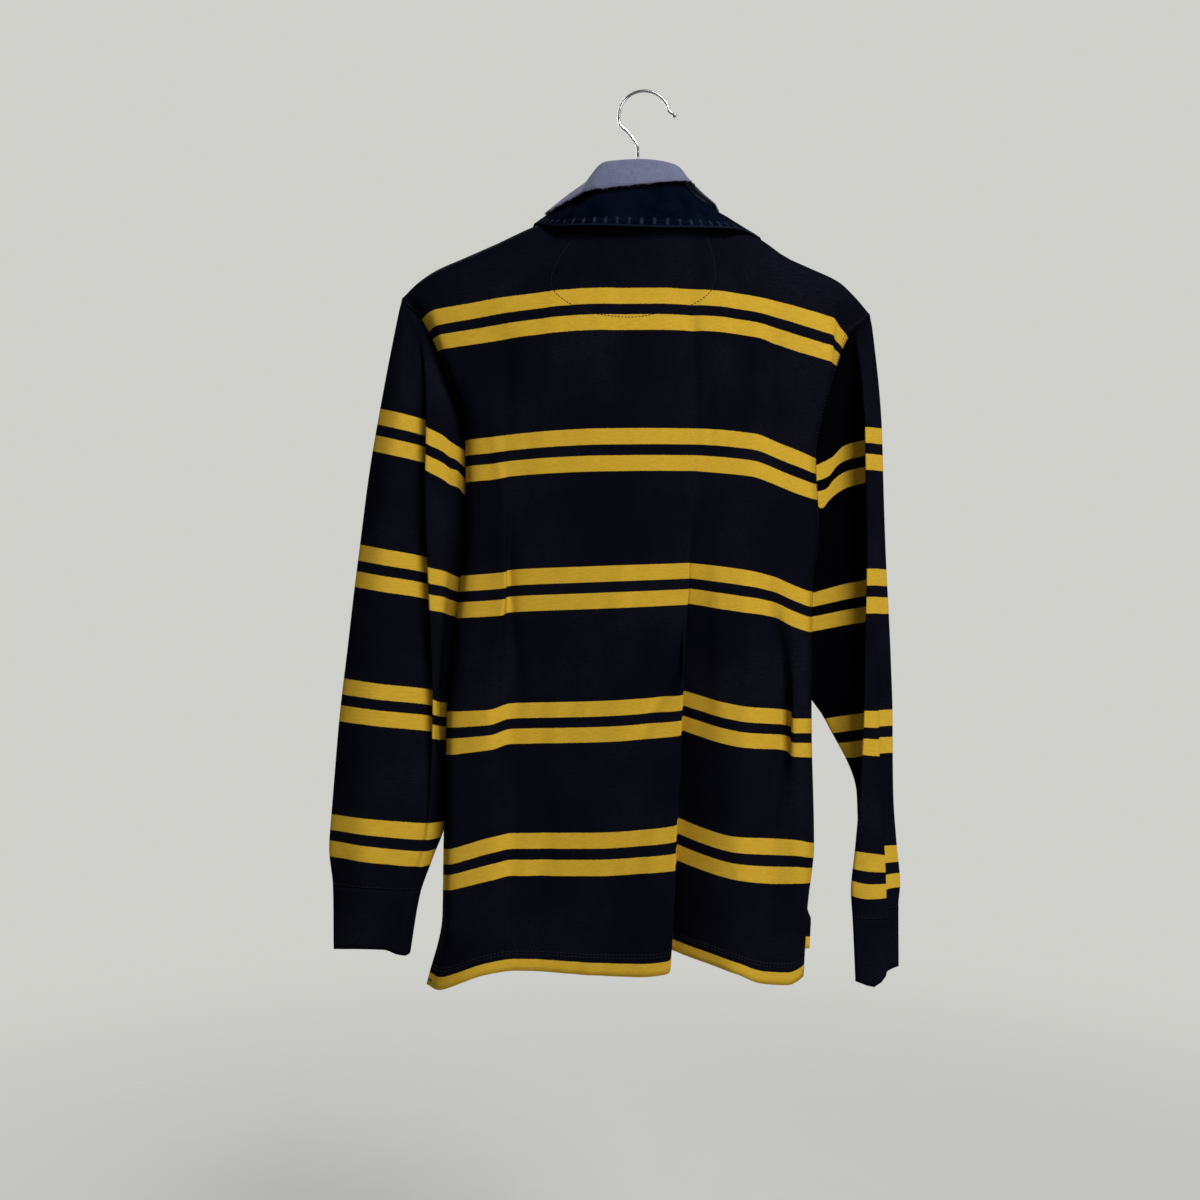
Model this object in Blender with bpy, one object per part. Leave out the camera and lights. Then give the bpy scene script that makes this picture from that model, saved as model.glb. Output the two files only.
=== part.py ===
"""Long-sleeve rugby shirt on its hanger, with its back to the viewer.

The origin is the inside top of the hanger's hook, where the hook bears. +Z is up and +X is to
the viewer's right. The viewer looks along +Y, so the shirt's back faces -Y and its front +Y.
"""

import math

import bmesh
import bpy
import numpy as np

# Sizes in mm
CLOTH = 1.6  # thickness of every cloth wall
SEAM = 0.35  # clearance between two pieces at a seam
SIDE_GAP = CLOTH + SEAM + 0.15  # from the middle of the back's wall to the front's at a side seam
ARMHOLE_GAP = 2.4  # from the body's armhole edge to the sleeve's
ARMHOLE_BEHIND = 1.8  # added to that on the front's side, right and deep
SHOULDER_ROUND = 8.0  # how far the cloth runs level over the hanger before it turns down
SHOULDER_DROP = 2.5  # how far it falls on the way
SHOULDER_TIP = (5.0, 30.0)  # distances from the armhole between which that rounding sets in
NECK_ROUND = 3.0  # how far inside the neck points, along the front's neckline, that rounding ends
NECK_CELL = 8.0  # how long a mesh cell is along the front's neckline
COLLAR_LAYER = CLOTH + 1.8  # from the chambray's wall to the navy stand's at the neck seam
COLLAR_RISE = 1.5  # from the panels' edge at the neck seam up to the collar's lower edge
COLLAR_IN = 2.5  # and from it in towards the neck
CHAMBRAY_ROLL = 5.3  # half the width of the chambray's roll over the top of the collar
NAVY_ROLL = 1.8  # half the width of the navy collar's own fold inside that roll
NAVY_LOWER = 9.0  # how much lower the navy fold's top is than the chambray's
FOLD_DEEP = 5.0  # how far below its top each fold has that width
TALL_STAND = 40.0  # a stand lower than this has its folds made smaller in proportion
LIP_OUT = 6.0  # how far the chambray's edge stands off the line from the roll to the fall's edge
PLACKET_WIDTH = 32.0
PLACKET_COURSES = (76.0, 236.0)  # where it starts and ends, by courses of the front
BUTTON_COURSES = (92.0, 145.0, 198.0)
BUTTON_RADIUS = 6.5
BUTTON_THICK = 3.0
BUTTON_SIDES = 20
WIRE_RADIUS = 1.5  # the hook's wire
BALL_RADIUS = 2.4
HOOK_RADIUS = 25.5  # of the wire's middle line
HOOK_CENTRE = (2.3, 24.0)  # right of the origin and below it
BAR_DEEP = (-6.0, 3.5)  # the hanger's bar, from its near side to its far side
BAR_HIGH = 14.0
BAR_CROWN = 3.0  # how much higher its middle is than its edges

# The viewer's eye: right of the origin, below it and in front of it
EYE_RIGHT, EYE_BELOW, EYE_AWAY = -42.0, 507.5, 1200.0

# How long a mesh cell is, across the cloth and down it
CELL_ACROSS = 15.0
CELL_DOWN = 46.0

# Colours, linear
NAVY = (0.0045, 0.0050, 0.0085, 1)
TWILL = (0.0035, 0.0055, 0.0110, 1)
CHAMBRAY = (0.150, 0.165, 0.265, 1)
RUBBER = (0.30, 0.28, 0.24, 1)
WOOD = (0.45, 0.30, 0.17, 1)
CHROME = (0.75, 0.75, 0.76, 1)

# Each place below is (right, below, deep): mm right of the origin and below it as the eye sees it
# on the hanger's plane, and mm behind that plane. A course is a row of knitting, numbered by its
# distance in mm down the cloth; the stripes run along courses.

# The back's top edge, from the left armhole over the shoulders and round the back of the neck
SHOULDER_LINE = (
    (-239, 205.5, 3), (-223, 190.5, 0), (-207, 179.5, -1), (-178, 166.5, -2), (-146, 152.5, -2),
    (-105, 133.5, -2), (-70, 121.5, -1), (-67, 124.5, -8), (-60, 127.5, -16), (-42, 129.5, -27),
    (-22, 130.5, -32), (-2, 131.5, -34), (18, 132.5, -34), (38, 132.5, -31), (54, 131, -24),
    (64, 129, -15), (68, 127.8, -8), (70, 127, -1), (118, 147.5, -2), (144, 165.5, -3),
    (168, 176.5, -2), (197, 190.5, -1), (211, 203.5, 0), (227, 221.5, 3),
)
# The front's neckline between the same two neck points
NECK_LINE = (
    (-70, 121.5, 1.1), (-69, 129.5, 6), (-67, 143.5, 11), (-57, 179.5, 16), (-32, 201.5, 18),
    (-2, 210.5, 19), (30, 203.5, 18), (56, 182.5, 16), (66, 151.5, 11), (69, 135.5, 6), (70, 127, 1.1),
)

# How far across the back's cloth each station lies: the left side seam, the strip and turn of the
# left fold, its valley, the middle, the pleat's layer, edge and underside, the right fold's ridge
# and dip, the right strip, its brink and the right side seam
BACK_ACROSS = (0, 32, 72, 98, 192, 250, 280, 330, 400, 440, 458, 470, 496)
# Each section is a name, a course and the places of its stations. The sections called pair run
# along the upper edge of a pair of stripes, and pair_1_low along the lower edge of the first.
BACK_SECTIONS = (
    ("top", 0,
     (-239, 205.5, 3), (-223, 190.5, -1), (-178, 166.5, -2), (-70, 121.5, -1), (-42, 129.5, -26),
     (0, 131.5, -34), (30, 132.5, -32), (56, 131, -18), (70, 127, -1), (158, 171.5, -3),
     (198, 191.5, -1), (211, 203.5, 0), (227, 221.5, 3)),
    ("pair_1", 70,
     (-220, 227.5, 4), (-210, 218.5, -13), (-172, 211, -24), (-135, 204.5, -32), (-42, 195.5, -42),
     (18, 195.5, -43), (48, 196.8, -42), (71, 198, -40), (120, 205.5, -34), (158, 215.5, -28),
     (182, 222.5, -22), (191, 225.5, -15), (206, 245.5, 3)),
    ("pair_1_low", 114,
     (-204, 259.5, 4), (-198, 257.5, -16), (-162, 252, -27), (-131, 246.5, -35), (-42, 238.5, -45),
     (18, 238.5, -46), (48, 239, -45), (71, 240, -43), (120, 247.5, -37), (153, 259.5, -30),
     (178, 267, -25), (190, 270.5, -19), (194, 274.5, 3)),
    ("pair_2", 208,
     (-177, 348.5, 4), (-170, 347.5, -22), (-150, 345, -34), (-130, 342.5, -38), (-42, 336.5, -50),
     (18, 336.2, -51), (48, 336.5, -50), (73, 337.5, -48), (115, 342.5, -42), (145, 354.5, -30),
     (158, 359.5, -26), (169, 364.5, -19), (173.5, 366.5, 3)),
    ("armpit", 290,
     (-176, 429.5, 4), (-170, 428.5, -28), (-137.5, 424.5, -42), (-133, 422.5, -36), (-42, 418, -50),
     (18, 417, -52), (48, 416.8, -52), (51, 417.5, -48), (103, 422.5, -45), (138, 433.5, -29),
     (158, 441.5, -25), (172, 445, -19), (177, 445.5, 3)),
    ("pair_3", 346,
     (-181, 484.5, 4), (-175, 484, -30), (-137, 480.5, -46), (-134.5, 479, -35), (-42, 474.5, -50),
     (18, 472.5, -52), (46.5, 471.5, -53), (48, 471.5, -42), (98, 477.5, -46), (130, 484.5, -29),
     (151, 493.5, -27), (166, 499.5, -20), (170, 500, 3)),
    ("pair_4", 483,
     (-195, 619.5, 4), (-189, 619.5, -32), (-154, 618, -46), (-132, 611.5, -35), (-42, 609, -46),
     (13, 605.5, -53), (40, 603.1, -56), (41.5, 598.5, -18), (103, 614.5, -40), (146, 618.5, -18),
     (152, 626.5, -28), (165, 626.5, -21), (169, 626.5, 3)),
    ("pair_5", 620,
     (-198, 756.5, 4), (-192, 756.5, -34), (-150, 744.5, -44), (-129, 740.5, -34), (-42, 740, -46),
     (8, 736.5, -54), (34, 732.5, -58), (35.5, 724.5, -6), (95, 744.5, -40), (133, 746, -26),
     (155, 747.5, -28), (167, 750, -21), (171.5, 750.5, 3)),
    ("vent", 690,
     (-199, 822.5, 4), (-193, 823.5, -33), (-152, 814.5, -42), (-130, 809.5, -36), (-42, 810.5, -45),
     (3, 808.5, -53), (31.5, 806.5, -58), (33, 792.5, -3), (96, 814.5, -38), (133, 819.5, -25),
     (151, 818.5, -25), (161, 816.5, -18), (165, 814.5, 3)),
    ("hem", 765,
     (-215, 891.5, -4), (-202, 897.5, -24), (-157, 882.5, -40), (-127, 878, -38), (-52, 882.5, -46),
     (-2, 884.5, -54), (27, 880.5, -58), (29.5, 857.5, 2), (94, 881.5, -38), (123, 891.5, -28),
     (145.5, 892.5, -22), (155, 888.5, -16), (161, 883.5, -6)),
)

FRONT_STATIONS = (
    "side_left", "chest_1", "chest_2", "neck_left", "collar_left", "throat_left", "centre",
    "throat_right", "collar_right", "neck_right", "chest_3", "chest_4", "side_right",
)
FRONT_ACROSS = (0, 60, 125, 190, 198, 218, 250, 282, 302, 310, 375, 440, 500)
# The front's first two sections run round its neckline, so each place has its own course there
FRONT_TOP = (
    ("top", 0,
     (-239, 205.5, 5), (-192, 172.5, 3), (-132, 146.5, 2), (-70, 121.5, 1.5), (-67.5, 141.5, 10),
     (-57, 179.5, 16), (-2, 210.5, 19), (56, 182.5, 16), (67.5, 147.5, 10), (70, 127, 1.5),
     (133, 158.5, 2), (188, 186.5, 3), (227, 221.5, 5)),
    ("pair_1", 70,
     (-220, 227.5, 6), (-180, 218.5, 15), (-127, 211.5, 19), (-72, 207.5, 19), (-64, 208.5, 19),
     (-46, 212.5, 19), (-2, 219.5, 20), (42, 215.5, 19), (64, 211.5, 19), (74, 211.5, 19),
     (126, 218.5, 19), (173, 229.5, 15), (206, 245.5, 5)),
)
FRONT_TOP_COURSES = (
    (0, 20, 5, 0, 18, 48, 79, 50, 18, 0, 5, 22, 0),
    (70, 70, 70, 72, 75, 80, 88, 80, 75, 72, 70, 70, 70),
)
# Below them each section spans the side seams: how far its middle rises over the line between
# them, and how deep each station lies
FRONT_SECTIONS = (
    ("pair_1_low", 114, 14, (17, 20, 20, 19, 19, 21, 19, 19, 20, 20, 17)),
    ("pair_2", 208, 9, (17, 22, 18, 21, 21, 23, 20, 20, 18, 22, 18)),
    ("armpit", 290, 8, (18, 23, 17, 20, 20, 24, 20, 20, 17, 23, 19)),
    ("pair_3", 346, 8, (18, 23, 16, 20, 20, 24, 19, 19, 16, 23, 19)),
    ("pair_4", 483, 7, (19, 24, 15, 19, 19, 24, 18, 18, 15, 24, 19)),
    ("pair_5", 620, 6, (19, 25, 13, 19, 19, 25, 17, 17, 13, 25, 19)),
    ("vent", 690, 5, (20, 26, 13, 18, 18, 26, 16, 16, 13, 26, 20)),
    ("hem", 735, 4, (20, 27, 12, 18, 18, 27, 16, 16, 12, 27, 20)),
)

SLEEVE_COURSES = (0, 113, 175, 250, 387, 523, 560, 595, 662)
# Left sleeve: stations round the tube from its outer edge, over the near side and back
LEFT_STATIONS = (
    "outer", "main", "dip", "crease", "flap", "flap_end", "tuck", "back_in", "back_out",
)
LEFT_AROUND = (0, 32, 66, 86, 106, 130, 150, 188, 240, 285)
# Where each station meets the armhole, by the body's courses, the sleeve's own course there, and
# whether it is on the back's edge, 0, or the front's, 1
LEFT_ARMHOLE = (
    (0, 0, 0.5), (22, 7, 0), (50, 13, 0), (80, 22, 0), (165, 70, 0), (238, 130, 0), (286, 165, 0.5),
    (165, 90, 1), (50, 20, 1),
)
LEFT_CAP_COURSES = (113, 113, 113, 113, 113, 142, 172, 125, 113)
LEFT_SECTIONS = (
    ("pair_a", 113,
     (-261, 316.5, 6), (-242, 320.5, -15), (-213.5, 329.5, -2), (-215, 334.5, -20), (-196, 345.5, -16),
     (-182, 385.5, 0), (-177, 441.5, 9), (-200, 357.5, 28), (-240, 329.5, 27)),
    ("cap", 175,
     (-271, 377.5, 6), (-252, 382.5, -16), (-214, 393.5, -2), (-216, 397.5, -21), (-197, 407.5, -14),
     (-185, 422.5, 1), (-174, 459.5, 18), (-199, 427.5, 30), (-242, 397.5, 28)),
    ("pair_b", 250,
     (-281.5, 452.5, 6), (-258, 457, -16), (-212, 467.5, -3), (-214, 474.5, -21), (-199, 478.5, -17),
     (-190, 482.5, 2), (-173, 489.5, 19), (-202, 479.5, 30), (-247, 463.5, 28)),
    ("pair_c", 387,
     (-297, 586.5, 6), (-267, 591.5, -18), (-207, 599.5, -5), (-209, 607.5, -21), (-204, 609.5, -15),
     (-200.5, 610.5, 2), (-188, 611.5, 18), (-217, 605.5, 29), (-262, 595.5, 28)),
    ("pair_d", 523,
     (-309.5, 721.5, 6), (-272, 726.5, -18), (-218, 730.5, -11), (-213, 730.5, -13), (-206, 729.5, -8),
     (-201, 728.5, 2), (-203, 728.5, 10), (-227, 727.5, 26), (-277, 724.5, 26)),
    ("wrist", 560,
     (-312, 757.5, 6), (-276, 763.5, -18), (-227, 768.5, -12), (-221, 768.5, -12), (-215, 767.5, -8),
     (-210, 764.5, 2), (-212, 764.5, 11), (-234, 763.5, 25), (-280, 760.5, 25)),
    ("seam", 595,
     (-308.5, 793.5, 5), (-277, 796.5, -15), (-239, 798.5, -12), (-232, 798.5, -11), (-226, 797.5, -7),
     (-221.5, 797.5, 2), (-223, 797.5, 10), (-242, 796.5, 21), (-287, 794.5, 20)),
    ("cuff_end", 662,
     (-307.5, 856.5, 4), (-282, 855.5, -12), (-257, 857.5, -14), (-246, 861.5, -14), (-238, 863, -10),
     (-232, 859.5, -1), (-234, 858.5, 7), (-252, 857.5, 17), (-290, 856.5, 16)),
)

# Right sleeve: stations round the tube from its outer edge, over the near side and back
RIGHT_STATIONS = (
    "outer", "lit", "fold_2", "main", "fold_1", "dark_out", "dark_mid", "inner", "back_in", "back_out",
)
RIGHT_AROUND = (0, 18, 28, 38, 50, 78, 106, 138, 168, 212, 245)
RIGHT_ARMHOLE = (
    (0, 0, 0.5), (10, 2, 0), (22, 4, 0), (34, 6, 0), (48, 8, 0), (85, 14, 0), (160, 63, 0),
    (286, 186, 0.5), (160, 90, 1), (48, 16, 1),
)
RIGHT_CAP_COURSES = (113, 113, 113, 113, 113, 113, 113, 195, 130, 113)
RIGHT_SECTIONS = (
    ("pair_a", 113,
     (238, 336.5, 4), (234, 335.5, -8), (230, 335, -15), (226.5, 334.8, -20), (223, 334.5, -24),
     (225, 345.5, 3), (200, 354.5, 6), (178, 463.5, 9), (190, 377.5, 28), (226, 349.5, 25)),
    ("cap", 175,
     (240.5, 400.5, 4), (236, 399.5, -8), (232, 399, -15), (228, 398.5, -20), (224, 398, -24),
     (226, 409.5, 4), (201, 418.5, 8), (176, 481.5, 16), (190, 437.5, 30), (228, 412.5, 26)),
    ("pair_b", 250,
     (243, 477.5, 4), (238, 477, -8), (234, 476.5, -15), (229, 476.5, -20), (225, 476.5, -25),
     (227, 485.5, 4), (200, 492.5, 10), (165, 503.5, 18), (190, 497.5, 30), (228, 484.5, 26)),
    ("elbow", 345,
     (248, 574.5, 5), (236, 575, -7), (234.5, 575, -15), (229, 575, -20.5), (223, 575, -25.5),
     (225, 579, 3), (197, 583, 10), (166, 588.5, 18), (193, 585.5, 29), (231, 579, 25)),
    ("pair_c", 387,
     (250, 617.5, 5), (235.5, 618.5, -7), (235, 619, -15), (229, 619, -21), (222.5, 619, -26),
     (224, 620.5, 2), (203, 623.5, 10), (183.5, 626.5, 18), (203, 625.5, 28), (233, 620.5, 25)),
    ("forearm", 470,
     (251, 700.5, 5), (238, 701.5, -5), (238.5, 706.5, -17), (229, 705.5, -23), (218, 703.5, -25),
     (224, 704.5, 0), (219, 704.5, 7), (215, 703.5, 12), (224, 703.5, 24), (242, 701.5, 20)),
    ("pair_d", 523,
     (254.5, 752.5, 4), (241, 753.5, -2), (242.5, 762.5, -18), (228, 760.5, -23), (213.5, 758.5, -22),
     (222, 758.5, 0), (219, 757.5, 7), (216, 757.5, 12), (226, 755.5, 23), (246, 753.5, 18)),
    ("wrist", 560,
     (258, 789.5, 5), (243, 792.5, -2), (244, 800.5, -18), (226, 801.5, -22), (209.5, 797.5, -20),
     (219, 795.5, -2), (217, 794.5, 5), (215, 793.5, 11), (226, 792.5, 22), (247, 789.5, 18)),
    ("seam", 595,
     (256, 815.5, 4), (244, 818.5, -2), (244.5, 826.5, -16), (227, 827.5, -19), (211, 825.5, -17),
     (218, 823.5, -4), (217, 822.5, 2), (216, 821.5, 8), (226, 819.5, 18), (246, 816.5, 14)),
    ("cuff_end", 662,
     (256, 873.5, 3), (244, 879.5, -2), (243.5, 883.5, -14), (232, 894.5, -17), (214, 888.5, -14),
     (224, 890.5, -4), (222, 889.5, 1), (220, 886.5, 6), (228, 882.5, 14), (246, 876.5, 11)),
)

SLEEVES = (
    ("left", LEFT_STATIONS, LEFT_AROUND, LEFT_ARMHOLE, LEFT_CAP_COURSES, LEFT_SECTIONS),
    ("right", RIGHT_STATIONS, RIGHT_AROUND, RIGHT_ARMHOLE, RIGHT_CAP_COURSES, RIGHT_SECTIONS),
)
# The stations, and the body's courses, between which the armpit lies
ARMPIT = (("flap", "back_in"), ("dark_mid", "back_in"))
ARMPIT_COURSES = (114, 208, 290, 346)

# Round the collar, from its left end at the front, round the back of the neck, to its right end:
# how far round a place is, and how far across the panel that the collar is sewn to there
FRONT_SEAM = (
    (0, 249), (44, 229), (84, 212), (112, 198), (125, 193.5), (138, 190), (350, 310), (363, 306.5),
    (376, 302), (404, 288), (444, 271), (488, 251),
)
BACK_SEAM = ((138, 98), (176, 145), (210, 198), (242, 250), (274, 284), (312, 335), (350, 400))
# Each row has the middle of the collar's top roll, the navy fall's edge, and how far from the one
# to the other the chambray's edge lies.
COLLAR_AROUND = (0, 44, 84, 112, 125, 138, 176, 210, 242, 274, 312, 350, 363, 376, 404, 444, 488)
COLLAR = (
    ("end_left", (-13, 189.5, 27), (-41, 252.5, 33), 0.08),
    ("front_left", (-48, 165.5, 26), (-80, 233.5, 33), 0.1),
    ("side_left", (-67, 136.5, 20), (-101, 187.5, 27), 0.2),
    ("over_left", (-70, 110.5, 11), (-110, 144.5, 18), 0.45),
    ("ridge_left", (-71, 107.5, 5), (-108, 133.5, 10), 0.6),
    ("neck_left", (-73, 104.5, -2), (-106, 130.8, 0), 0.62),
    ("quarter_left", (-54, 88.5, -19), (-86, 132.5, -30), 0.42),
    ("back_left", (-36, 69.5, -34), (-46, 132.5, -49), 0.42),
    ("back", (0, 67, -38), (-2, 134, -52), 0.36),
    ("back_right", (33, 72.5, -35), (46, 134.5, -49), 0.26),
    ("quarter_right", (48, 91.5, -20), (88, 135.5, -30), 0.14),
    ("neck_right", (68, 110.5, -2), (115, 143.5, 0), 0.12),
    ("ridge_right", (69, 112.5, 5), (118, 145.5, 10), 0.12),
    ("over_right", (70, 115.5, 11), (122, 157.5, 18), 0.12),
    ("side_right", (69, 140.5, 20), (108, 195.5, 27), 0.12),
    ("front_right", (48, 167.5, 26), (82, 235.5, 33), 0.1),
    ("end_right", (13, 190.5, 27), (41, 254.5, 33), 0.08),
)
NECK_MIDDLE = (0.0, -3.0)  # right and deep

# The hanger's bar: mm right of the origin, how far below the cloth's line its top lies, and
# its width and height as shares of the full bar
HANGER_BAR = (
    (-202, 4, 0.4, 0.5), (-194, 2, 0.8, 0.8), (-180, 1, 1, 1), (-120, 1, 1, 1), (-92, 4, 0.8, 1),
    (-76, 6, 0.6, 1), (-60, 6, 0.6, 1), (-30, 3, 0.8, 1.3), (-15, -7, 1, 2.1), (-4.2, -11, 1, 2.4),
    (6, -7, 1, 2.1), (24, 3, 0.8, 1.3), (60, 6, 0.6, 1), (78, 6, 0.6, 1), (94, 4, 0.8, 1),
    (120, 1, 1, 1), (172, 1, 1, 1), (184, 2, 0.8, 0.8), (192, 4, 0.4, 0.5),
)
# Round its section, as shares of its half width and of its height
BAR_SECTION = (
    (-0.7, 1), (-1, 0.8), (-1, 0.35), (-0.6, 0.06), (0, 0), (0.6, 0.06), (1, 0.35), (1, 0.8), (0.7, 1),
)
BAR_SLACK = 0.15  # added to the seam's clearance under the cloth

# The hook, (right, below): its stem's bend, its arc in degrees and its tip
STEM_RIGHT = -4.2
STEM_BEND = ((-4.2, 62), (-4.2, 57.5), (-4.7, 53), (-7.6, 48.3), (-14, 40))
HOOK_ARC = (198, 25)
HOOK_TIP = ((26.3, 17.4), (30.6, 21.4))
FERRULE_RADIUS, FERRULE_HIGH, FERRULE_STEP = 4.5, 5.0, 0.5
BUTTON_PROFILE = ((0.86, -0.5), (1.0, -0.2), (1.0, 0.2), (0.86, 0.5))


DOWN = np.array([0, 1, 0])  # among places


def smooth(knots, values, at):
    """Values at new places on a smooth curve through the knots, which never overshoots them."""
    knots, at = np.asarray(knots, float), np.asarray(at, float)
    values = np.asarray(values, float)
    flat = values.reshape(len(knots), -1)
    step = np.diff(knots)[:, None]
    slope = np.diff(flat, axis=0) / step
    before, after = slope[:-1], slope[1:]
    first, second = 2 * step[1:] + step[:-1], step[1:] + 2 * step[:-1]
    turning = before * after <= 0
    safe_before, safe_after = np.where(turning, 1, before), np.where(turning, 1, after)
    mean = (first + second) / (first / safe_before + second / safe_after)
    tangent = np.vstack([slope[:1], np.where(turning, 0, mean), slope[-1:]])
    left = np.clip(np.searchsorted(knots, at, side="right") - 1, 0, len(knots) - 2)
    t = ((at - knots[left]) / step[left, 0])[:, None]
    h = step[left]
    found = (
        flat[left] * (1 + 2 * t) * (1 - t) ** 2
        + tangent[left] * h * t * (1 - t) ** 2
        + flat[left + 1] * t * t * (3 - 2 * t)
        + tangent[left + 1] * h * t * t * (t - 1)
    )
    return found.reshape(at.shape + values.shape[1:])


def smooth_ring(knots, values, at):
    """The same round a closed ring; the last knot is where the ring comes back to its start."""
    knots, values = np.asarray(knots, float), np.asarray(values, float)
    whole = knots[-1] - knots[0]
    wide = np.concatenate([knots[-3:-1] - whole, knots[:-1], knots[:3] + whole])
    return smooth(wide, np.concatenate([values[-2:], values, values[:3]]), at)


def divided(knots, longest):
    """Places that take in every knot, with no step much longer than the longest."""
    places = [
        np.linspace(a, b, max(1, round((b - a) / longest)), endpoint=False)
        for a, b in zip(knots[:-1], knots[1:])
    ]
    return np.concatenate([*places, knots[-1:]])


def with_courses(sections):
    """The sections as an array (section, station, right-below-deep-course), and their courses."""
    places = np.array([section[2:] for section in sections], float)
    courses = np.array([section[1] for section in sections], float)
    column = np.broadcast_to(courses[:, None, None], places.shape[:2] + (1,))
    return np.concatenate([places, column], axis=2), courses


def seen(places):
    """The real places, in metres, of places given as the eye sees them."""
    scale = (EYE_AWAY + places[..., 2]) / EYE_AWAY
    x = EYE_RIGHT + (places[..., 0] - EYE_RIGHT) * scale
    below = EYE_BELOW + (places[..., 1] - EYE_BELOW) * scale
    return np.stack([x, places[..., 2], -below], axis=-1) / 1000


def along(line, right):
    """How far below the origin and how deep a line of places is, at some places to the right."""
    line = np.array(line, float)
    return smooth(line[:, 0], line[:, 1:], right)


def rounded_shoulder(top, toward):
    """The section just below the top one, where the cloth has run over the hanger's shoulder."""
    tips = SHOULDER_LINE[0][0], SHOULDER_LINE[-1][0]
    from_tip = np.minimum(top[:, 0] - tips[0], tips[1] - top[:, 0])
    share = np.interp(from_tip, SHOULDER_TIP, (0, 1))
    over = top.copy()
    over[:, 1] += SHOULDER_DROP
    over[:, 2] += toward * SHOULDER_ROUND * share
    over[:, 3] += SHOULDER_ROUND
    return over


def back_rows(across):
    """The back's sections, dense across the cloth, and the courses where they lie."""
    table, courses = with_courses(BACK_SECTIONS)
    rows = smooth(BACK_ACROSS, table.swapaxes(0, 1), across).swapaxes(0, 1)
    rows[0, :, 1:3] = along(SHOULDER_LINE, rows[0, :, 0])
    rows[0, :, 3] = rows[1, :, 3] - (rows[1, :, 1] - rows[0, :, 1])
    over = rounded_shoulder(rows[0], -1)
    rows = np.concatenate([rows[:1], over[None], rows[1:]])
    return rows, np.concatenate([courses[:1], [SHOULDER_ROUND], courses[1:]])


def back_edge(side, courses):
    """Places on the back's left edge, side 0, or its right edge, side 1."""
    rows, at = back_rows(np.array([BACK_ACROSS[0], BACK_ACROSS[-1]], float))
    return smooth(at, rows[:, side], courses)


def front_rows(across):
    """The front's sections, dense across the cloth, and the courses where they lie."""
    top, top_at = with_courses(FRONT_TOP)
    top[..., 3] = FRONT_TOP_COURSES
    share = (np.array(FRONT_ACROSS) / FRONT_ACROSS[-1])[:, None]
    sections = []
    for _, course, rise, deeps in FRONT_SECTIONS:
        left, right = (back_edge(side, np.array([course]))[0] for side in (0, 1))
        section = left + (right - left) * share
        section[:, 1] -= rise * 4 * share[:, 0] * (1 - share[:, 0])
        section[1:-1, 2] = deeps
        section[[0, -1], 2] += SIDE_GAP
        section[:, 3] = course
        sections.append(section)
    table = np.concatenate([top, np.array(sections)])
    rows = smooth(FRONT_ACROSS, table.swapaxes(0, 1), across).swapaxes(0, 1)
    right = rows[0, :, 0]
    inside = np.minimum(right - NECK_LINE[0][0], NECK_LINE[-1][0] - right)
    neckline = along(NECK_LINE, np.clip(right, NECK_LINE[0][0], NECK_LINE[-1][0]))
    shoulders = along(SHOULDER_LINE, right) + np.array([0, SIDE_GAP])
    rows[0, :, 1:3] = np.where((inside > 0)[:, None], neckline, shoulders)
    over = rounded_shoulder(rows[0], np.interp(inside, (0, NECK_ROUND), (1, 0)))
    rows = np.concatenate([rows[:1], over[None], rows[1:]])
    at = [top_at[0], SHOULDER_ROUND, top_at[1], *(section[1] for section in FRONT_SECTIONS)]
    return rows, np.array(at, float)


def armhole(side, ends, around, at):
    """The sleeve's top edge round the armhole: the body's edge moved outwards."""
    body_course, own_course, hidden = smooth_ring(around, ends, at).T
    edge = back_edge(side, body_course)
    edge[:, 0] += (ARMHOLE_GAP + ARMHOLE_BEHIND * hidden) * (1 if side else -1)
    edge[:, 2] += (SIDE_GAP + ARMHOLE_BEHIND) * hidden
    edge[:, 3] = own_course
    return edge


def sleeve_rows(side, at):
    """A sleeve's sections from the armhole to the cuff's end, dense round the tube."""
    _, _, around, ends, cap_courses, sections = SLEEVES[side]
    table, courses = with_courses(sections)
    table[0, :, 3] = cap_courses
    rows = smooth_ring(around, table.swapaxes(0, 1), at).swapaxes(0, 1)
    top = armhole(side, ends, around, at)
    return np.concatenate([top[None], rows]), np.concatenate([[0], courses])


def grid_between(rows, courses, down):
    """The places of a piece at each course of down, as a grid (course, across, place)."""
    return smooth(courses, rows, down)


def facing(points, closed):
    """Unit normals of a grid of points."""
    across = np.gradient(points, axis=1)
    if closed:
        across = np.roll(points, -1, axis=1) - np.roll(points, 1, axis=1)
    normal = np.cross(across, np.gradient(points, axis=0))
    return normal / np.maximum(np.linalg.norm(normal, axis=2, keepdims=True), 1e-12)


def material(name, colour, roughness, metallic=0.0):
    made = bpy.data.materials.get(name)
    if made:
        return made
    made = bpy.data.materials.new(name)
    made.use_nodes = True
    shader = made.node_tree.nodes["Principled BSDF"]
    shader.inputs["Base Color"].default_value = colour
    shader.inputs["Roughness"].default_value = roughness
    shader.inputs["Metallic"].default_value = metallic
    return made


def new_object(name, points, faces, finish, parent):
    """A closed object from points in metres, with its faces turned outwards."""
    mesh = bpy.data.meshes.new(name)
    mesh.from_pydata([tuple(point) for point in points], [], faces)
    form = bmesh.new()
    form.from_mesh(mesh)
    bmesh.ops.recalc_face_normals(form, faces=form.faces)
    form.to_mesh(mesh)
    form.free()
    mesh.shade_smooth()
    mesh.materials.append(finish)
    made = bpy.data.objects.new(name, mesh)
    bpy.context.scene.collection.objects.link(made)
    made.parent = parent
    return made


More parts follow.
